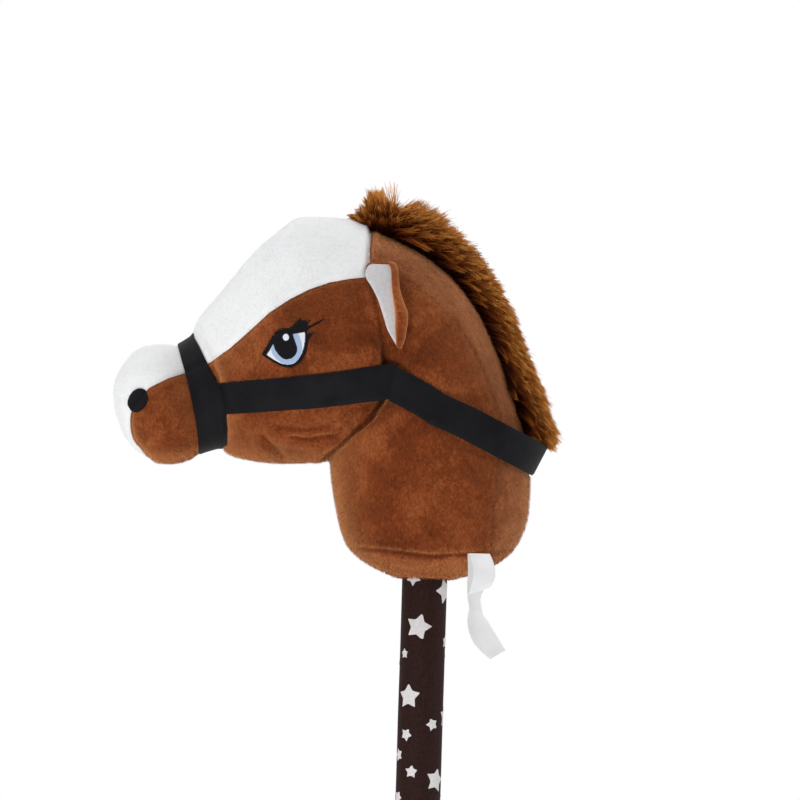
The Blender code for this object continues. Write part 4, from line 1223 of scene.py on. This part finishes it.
def make_stars():
    """Printed stars: the seen ones in their places, and the pattern carried on round the sleeve."""
    random = np.random.default_rng(SEED)
    round_length = 2 * math.pi * SLEEVE_RADIUS
    stars = list(SEEN_STARS)
    low = SLEEVE_LOW / MM - NECK_UNDERSIDE / MM
    for size in STAR_TRIES:
        x, z = random.uniform(-round_length / 2, round_length / 2), random.uniform(low + 6, 20)
        in_view = abs(x) < 21 and -66 < z < 12
        clear = all(
            math.hypot(min(abs(x - a), round_length - abs(x - a)), z - b) > size + c + STAR_SPACING
            for a, b, c, _ in stars
        )
        if clear and not in_view:
            stars.append((x, z, size, random.uniform(0, 72)))
    points, faces = [], []
    for x, z, size, tilt in stars:
        spots, cells, _ = patch_grid(star(x, z, size, tilt), 0.9)
        start = len(points)
        for along, up in spots:
            turn = along / SLEEVE_RADIUS
            height = NECK_UNDERSIDE + up * MM
            points.append((STAR_RADIUS * math.sin(turn), -STAR_RADIUS * math.cos(turn), height))
        faces += (cells + start).tolist()
    obj = mesh_object("printed_stars", points, faces)
    colour = clouds(1100, 2, 0.6, (0.3, (0.5, 0.475, 0.48)), (0.7, (0.66, 0.64, 0.645)))
    obj.data.materials.append(finish("star_print", colour, 0.6, grain(2400, 2, 0.6), 0.2, 0.0002))
    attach(obj, "head_and_stick")


# Rigid and hidden pieces that keep their solids

def moulded(name, dark, light, roughness, grain_scale):
    """Moulded plastic or rubber: a fine grain, slight clouding and scuffs."""
    def worn(tree):
        return maths(tree, "MULTIPLY_ADD", noise_at(tree, 120, 4, 0.7), 0.25, roughness - 0.12)

    return finish(
        name, clouds(55, 4, 0.65, (0.35, dark), (0.7, light)), worn, grain(grain_scale, 3, 0.6), 0.2, 0.0002,
        Specular_IOR_Level=0.25,
    )


def woven(name, dark, light, scale):
    """Plain-woven cloth: crossing threads, each a little different, with painted shade where the weave lies
    low.
    """
    def threads(tree):
        place = stretched(tree, (scale, scale, scale))
        across, along = (wave_at(tree, way, place, Scale=0.3, Distortion=0.6) for way in ("DIAGONAL", "Z"))
        return maths(tree, "MULTIPLY", across, along)

    def colour(tree):
        # Colour follows the threads' relief: painted shade where the weave lies low, with a little random
        # tone.
        half = maths(tree, "MULTIPLY", threads(tree), 0.5)
        level = maths(tree, "MULTIPLY_ADD", noise_at(tree, 500, 2, 0.6), 0.5, half)
        return ramp(tree, level, ((0.2, dark), (0.7, light)))

    return finish(name, colour, 0.85, threads, 0.4, 0.0003, Specular_IOR_Level=0.1)


def dress_solids():
    for name, material in (
        ("foot_cap", moulded("rubber", (0.012, 0.012, 0.013), (0.028, 0.027, 0.028), 0.55, 1400)),
        ("stick_tube", moulded("tube_plastic", (0.42, 0.41, 0.39), (0.55, 0.54, 0.52), 0.45, 900)),
        ("stick_top_cap", moulded("cap_plastic", (0.03, 0.03, 0.032), (0.06, 0.06, 0.062), 0.4, 1100)),
        ("stick_pocket", woven("pocket_cloth", (0.1, 0.03, 0.012), (0.24, 0.085, 0.04), 2600)),
        ("mane_backing", woven("backing_cloth", (0.05, 0.016, 0.006), (0.15, 0.055, 0.022), 2200)),
    ):
        slots = frame["nodes"][name].data.materials
        slots.clear()
        slots.append(material)


# Pile on each panel: fibres to a square centimetre, their length and the way they lie; width at the root

PILE_WIDTH = 0.2
PILE = (
    ("white_face", WHITE_FIBRES, 40, 0.9, (0.5, 0, -0.8)),
    ("cheek_left", BROWN_FIBRES, 140, 1.9, (0.8, 0, -0.6)),
    ("cheek_right", BROWN_FIBRES, 140, 1.9, (0.8, 0, -0.6)),
    ("neck_left", BROWN_FIBRES, 140, 1.9, (0.1, 0, -1)),
    ("neck_right", BROWN_FIBRES, 140, 1.9, (0.1, 0, -1)),
    ("neck_gusset", GUSSET_FIBRES, 120, 1.9, (0.1, 0, -1)),
    ("neck_base", BROWN_FIBRES, 120, 1.9, (0.1, 0, -1)),
    ("ear_plush_left", BROWN_FIBRES, 150, 1.0, (0, 0, -1)),
    ("ear_plush_right", BROWN_FIBRES, 150, 1.0, (0, 0, -1)),
)
# How near above the plush a strap, ear, label or stitching has to lie to keep the pile away
PILE_COVERED = 4 * MM


def make_pile(covering):
    """Fine fibres over the plush wherever no strap, ear, label or stitching lies on it."""
    random = np.random.default_rng(SEED)
    points, faces = [], []
    for obj in covering:
        here = len(points)
        points += [tuple(vertex.co) for vertex in obj.data.vertices]
        faces += [[here + index for index in face.vertices] for face in obj.data.polygons]
    cover = BVHTree.FromPolygons(points, faces)
    for name, material, density, length, lie in PILE:
        panel = bpy.data.objects[name]
        points, _ = arrays(panel.data)
        corners = points[np.array([face.vertices for face in panel.data.polygons])]
        cross = np.cross(corners[:, 2] - corners[:, 0], corners[:, 3] - corners[:, 1]) / 2
        areas = np.linalg.norm(cross, axis=1)
        count = int(areas.sum() * 1e4 * density)
        picked = random.choice(len(areas), count, p=areas / areas.sum())
        u, v = random.random((2, count, 1))
        c = corners[picked]
        roots = c[:, 0] * (1 - u) * (1 - v) + c[:, 1] * u * (1 - v) + c[:, 2] * u * v + c[:, 3] * (1 - u) * v
        out = cross[picked] / areas[picked][:, None]
        bare = [
            cover.ray_cast(Vector(root + way * 0.05 * MM), Vector(way), PILE_COVERED)[0] is None
            for root, way in zip(roots, out)
        ]
        roots, out = roots[bare], out[bare]
        lay = np.array(lie) + random.normal(0, 0.35, roots.shape)
        lay -= out * (lay * out).sum(1)[:, None]
        lay /= np.linalg.norm(lay, axis=1)[:, None]
        aside = np.cross(out, lay) * PILE_WIDTH / 2 * MM
        long = length * random.uniform(0.7, 1.15, (len(roots), 1)) * MM
        middle = roots + out * long * 0.42 + lay * long * 0.3
        tips = roots + out * long * 0.6 + lay * long * 0.85
        roots = roots - out * 0.1 * MM
        blades = np.stack([
            roots - aside, roots + aside, middle + aside * 0.8, middle - aside * 0.8,
            tips + aside * 0.2, tips - aside * 0.2,
        ], 1)
        first = np.arange(len(roots))[:, None] * 6
        faces = np.vstack([first + [0, 1, 2, 3], first + [3, 2, 4, 5]])
        obj = mesh_object("pile_" + name, blades.reshape(-1, 3), faces, material)
        mark(obj, "shade", np.repeat(random.random(len(roots)), 6))
        # The seam mark is painted shade in the seams, folds and creases; the ears get none.
        mark(obj, "seam", np.repeat(painted_seam_shade(spots_of(roots)) * ("ear" not in name), 6))
        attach(obj, name.replace("_plush", "") if "ear" in name else "head_and_stick")


# Distance from the stick, in metres, at which the floor begins and ends to turn plain white
FLOOR_FADE = (0.3, 1.0)


def floor_material():
    """Pale and matt round the object, where its shadow lies, and seen as plain white further off."""
    made = finish("floor", (0.86, 0.86, 0.86), 0.9)
    tree = made.node_tree
    place = node(tree, "TexCoord").outputs["Object"]
    distance = node(tree, "VectorMath", {"operation": "LENGTH"}, _0=place).outputs["Value"]
    fade = dict(zip(("_1", "_2"), FLOOR_FADE))
    far = node(tree, "MapRange", {"interpolation_type": "SMOOTHSTEP"}, _0=distance, **fade).outputs[0]
    seen = maths(tree, "MULTIPLY", far, node(tree, "LightPath").outputs["Is Camera Ray"])
    white = node(tree, "Emission", Color=(1, 1, 1, 1), Strength=1.0)
    joined = node(tree, "MixShader", _0=seen)
    tree.links.new(tree.nodes["Principled BSDF"].outputs[0], joined.inputs[1])
    tree.links.new(white.outputs[0], joined.inputs[2])
    tree.links.new(joined.outputs[0], tree.nodes["Material Output"].inputs["Surface"])
    return made


# Strength of the white surroundings at the object's height, and how much more comes from behind it
AMBIENT = 0.6
AMBIENT_LEAN = 0.15
# The photograph's frame: its middle, its width at the object, and the camera's distance and lean
VIEW_CENTRE = (-0.0182, 0, 0.6697)
VIEW_WIDTH = 0.48
VIEW_DISTANCE = 10.0
VIEW_LEAN = math.radians(1.8)
# Round lamps aimed at the head: place, size, power
LAMPS = (
    ("key", (-1.15, -0.5, 2.15), 1.2, 11.5),
    ("fill", (1.8, -0.2, 1.1), 1.3, 11),
    ("top", (-0.1, 0.8, 2.1), 1.3, 9),
    ("under", (-0.35, -0.8, 0.2), 0.4, 4),
)
LAMP_AIM = (0, 0, 0.68)


def make_view():
    """A long lens at the photograph's angle, soft even light and a pale floor."""
    camera = bpy.data.cameras.new("camera")
    camera.sensor_width = 36
    camera.lens = camera.sensor_width * VIEW_DISTANCE / VIEW_WIDTH
    camera.clip_end = 50
    seen = bpy.data.objects.new("camera", camera)
    bpy.context.scene.collection.objects.link(seen)
    seen.location = Vector(VIEW_CENTRE) + Vector((0, -VIEW_DISTANCE, 0))
    seen.rotation_euler = (math.pi / 2, 0, 0)
    seen.rotation_euler.rotate_axis("Z", VIEW_LEAN)
    bpy.context.scene.camera = seen
    for name, place, size, power in LAMPS:
        light = bpy.data.lights.new(name, "AREA")
        light.shape = "DISK"
        light.size = size
        light.energy = power
        lamp = bpy.data.objects.new(name, light)
        bpy.context.scene.collection.objects.link(lamp)
        lamp.location = place
        lamp.rotation_euler = (Vector(LAMP_AIM) - Vector(place)).to_track_quat("-Z", "Y").to_euler()
    world_light = bpy.data.worlds.new("studio")
    bpy.context.scene.world = world_light
    world_light.use_nodes = True
    tree = world_light.node_tree
    path = node(tree, "LightPath")
    straight = maths(tree, "MAXIMUM", path.outputs["Is Camera Ray"], path.outputs["Is Transmission Ray"])
    straight = maths(tree, "MAXIMUM", straight, path.outputs["Is Glossy Ray"])
    away = node(tree, "SeparateXYZ", Vector=node(tree, "TexCoord").outputs["Generated"]).outputs["Y"]
    level = maths(tree, "MAXIMUM", straight, maths(tree, "MULTIPLY_ADD", away, AMBIENT_LEAN, AMBIENT))
    background = tree.nodes["Background"]
    background.inputs["Color"].default_value = (1, 1, 1, 1)
    tree.links.new(level, background.inputs["Strength"])
    bpy.context.scene.view_settings.view_transform = "Standard"
    floor = mesh_object("floor", [(-30, -30, 0), (30, -30, 0), (30, 30, 0), (-30, 30, 0)], [(0, 1, 2, 3)])
    floor.data.materials.append(floor_material())


def main():
    make_view()
    plush = make_plush()
    cast = caster(plush)
    make_noseband(plush)
    make_cheek_straps(cast)
    make_rein()
    make_embroidery(cast)
    make_mane(plush)
    make_ears(cast)
    make_labels()
    covering = "_strap", "webbing", "stitching", "ear_plush", "ear_lining_plush", "satin"
    make_pile([obj for obj in bpy.data.objects if any(word in obj.name for word in covering)])
    make_stick()
    dress_solids()


main()
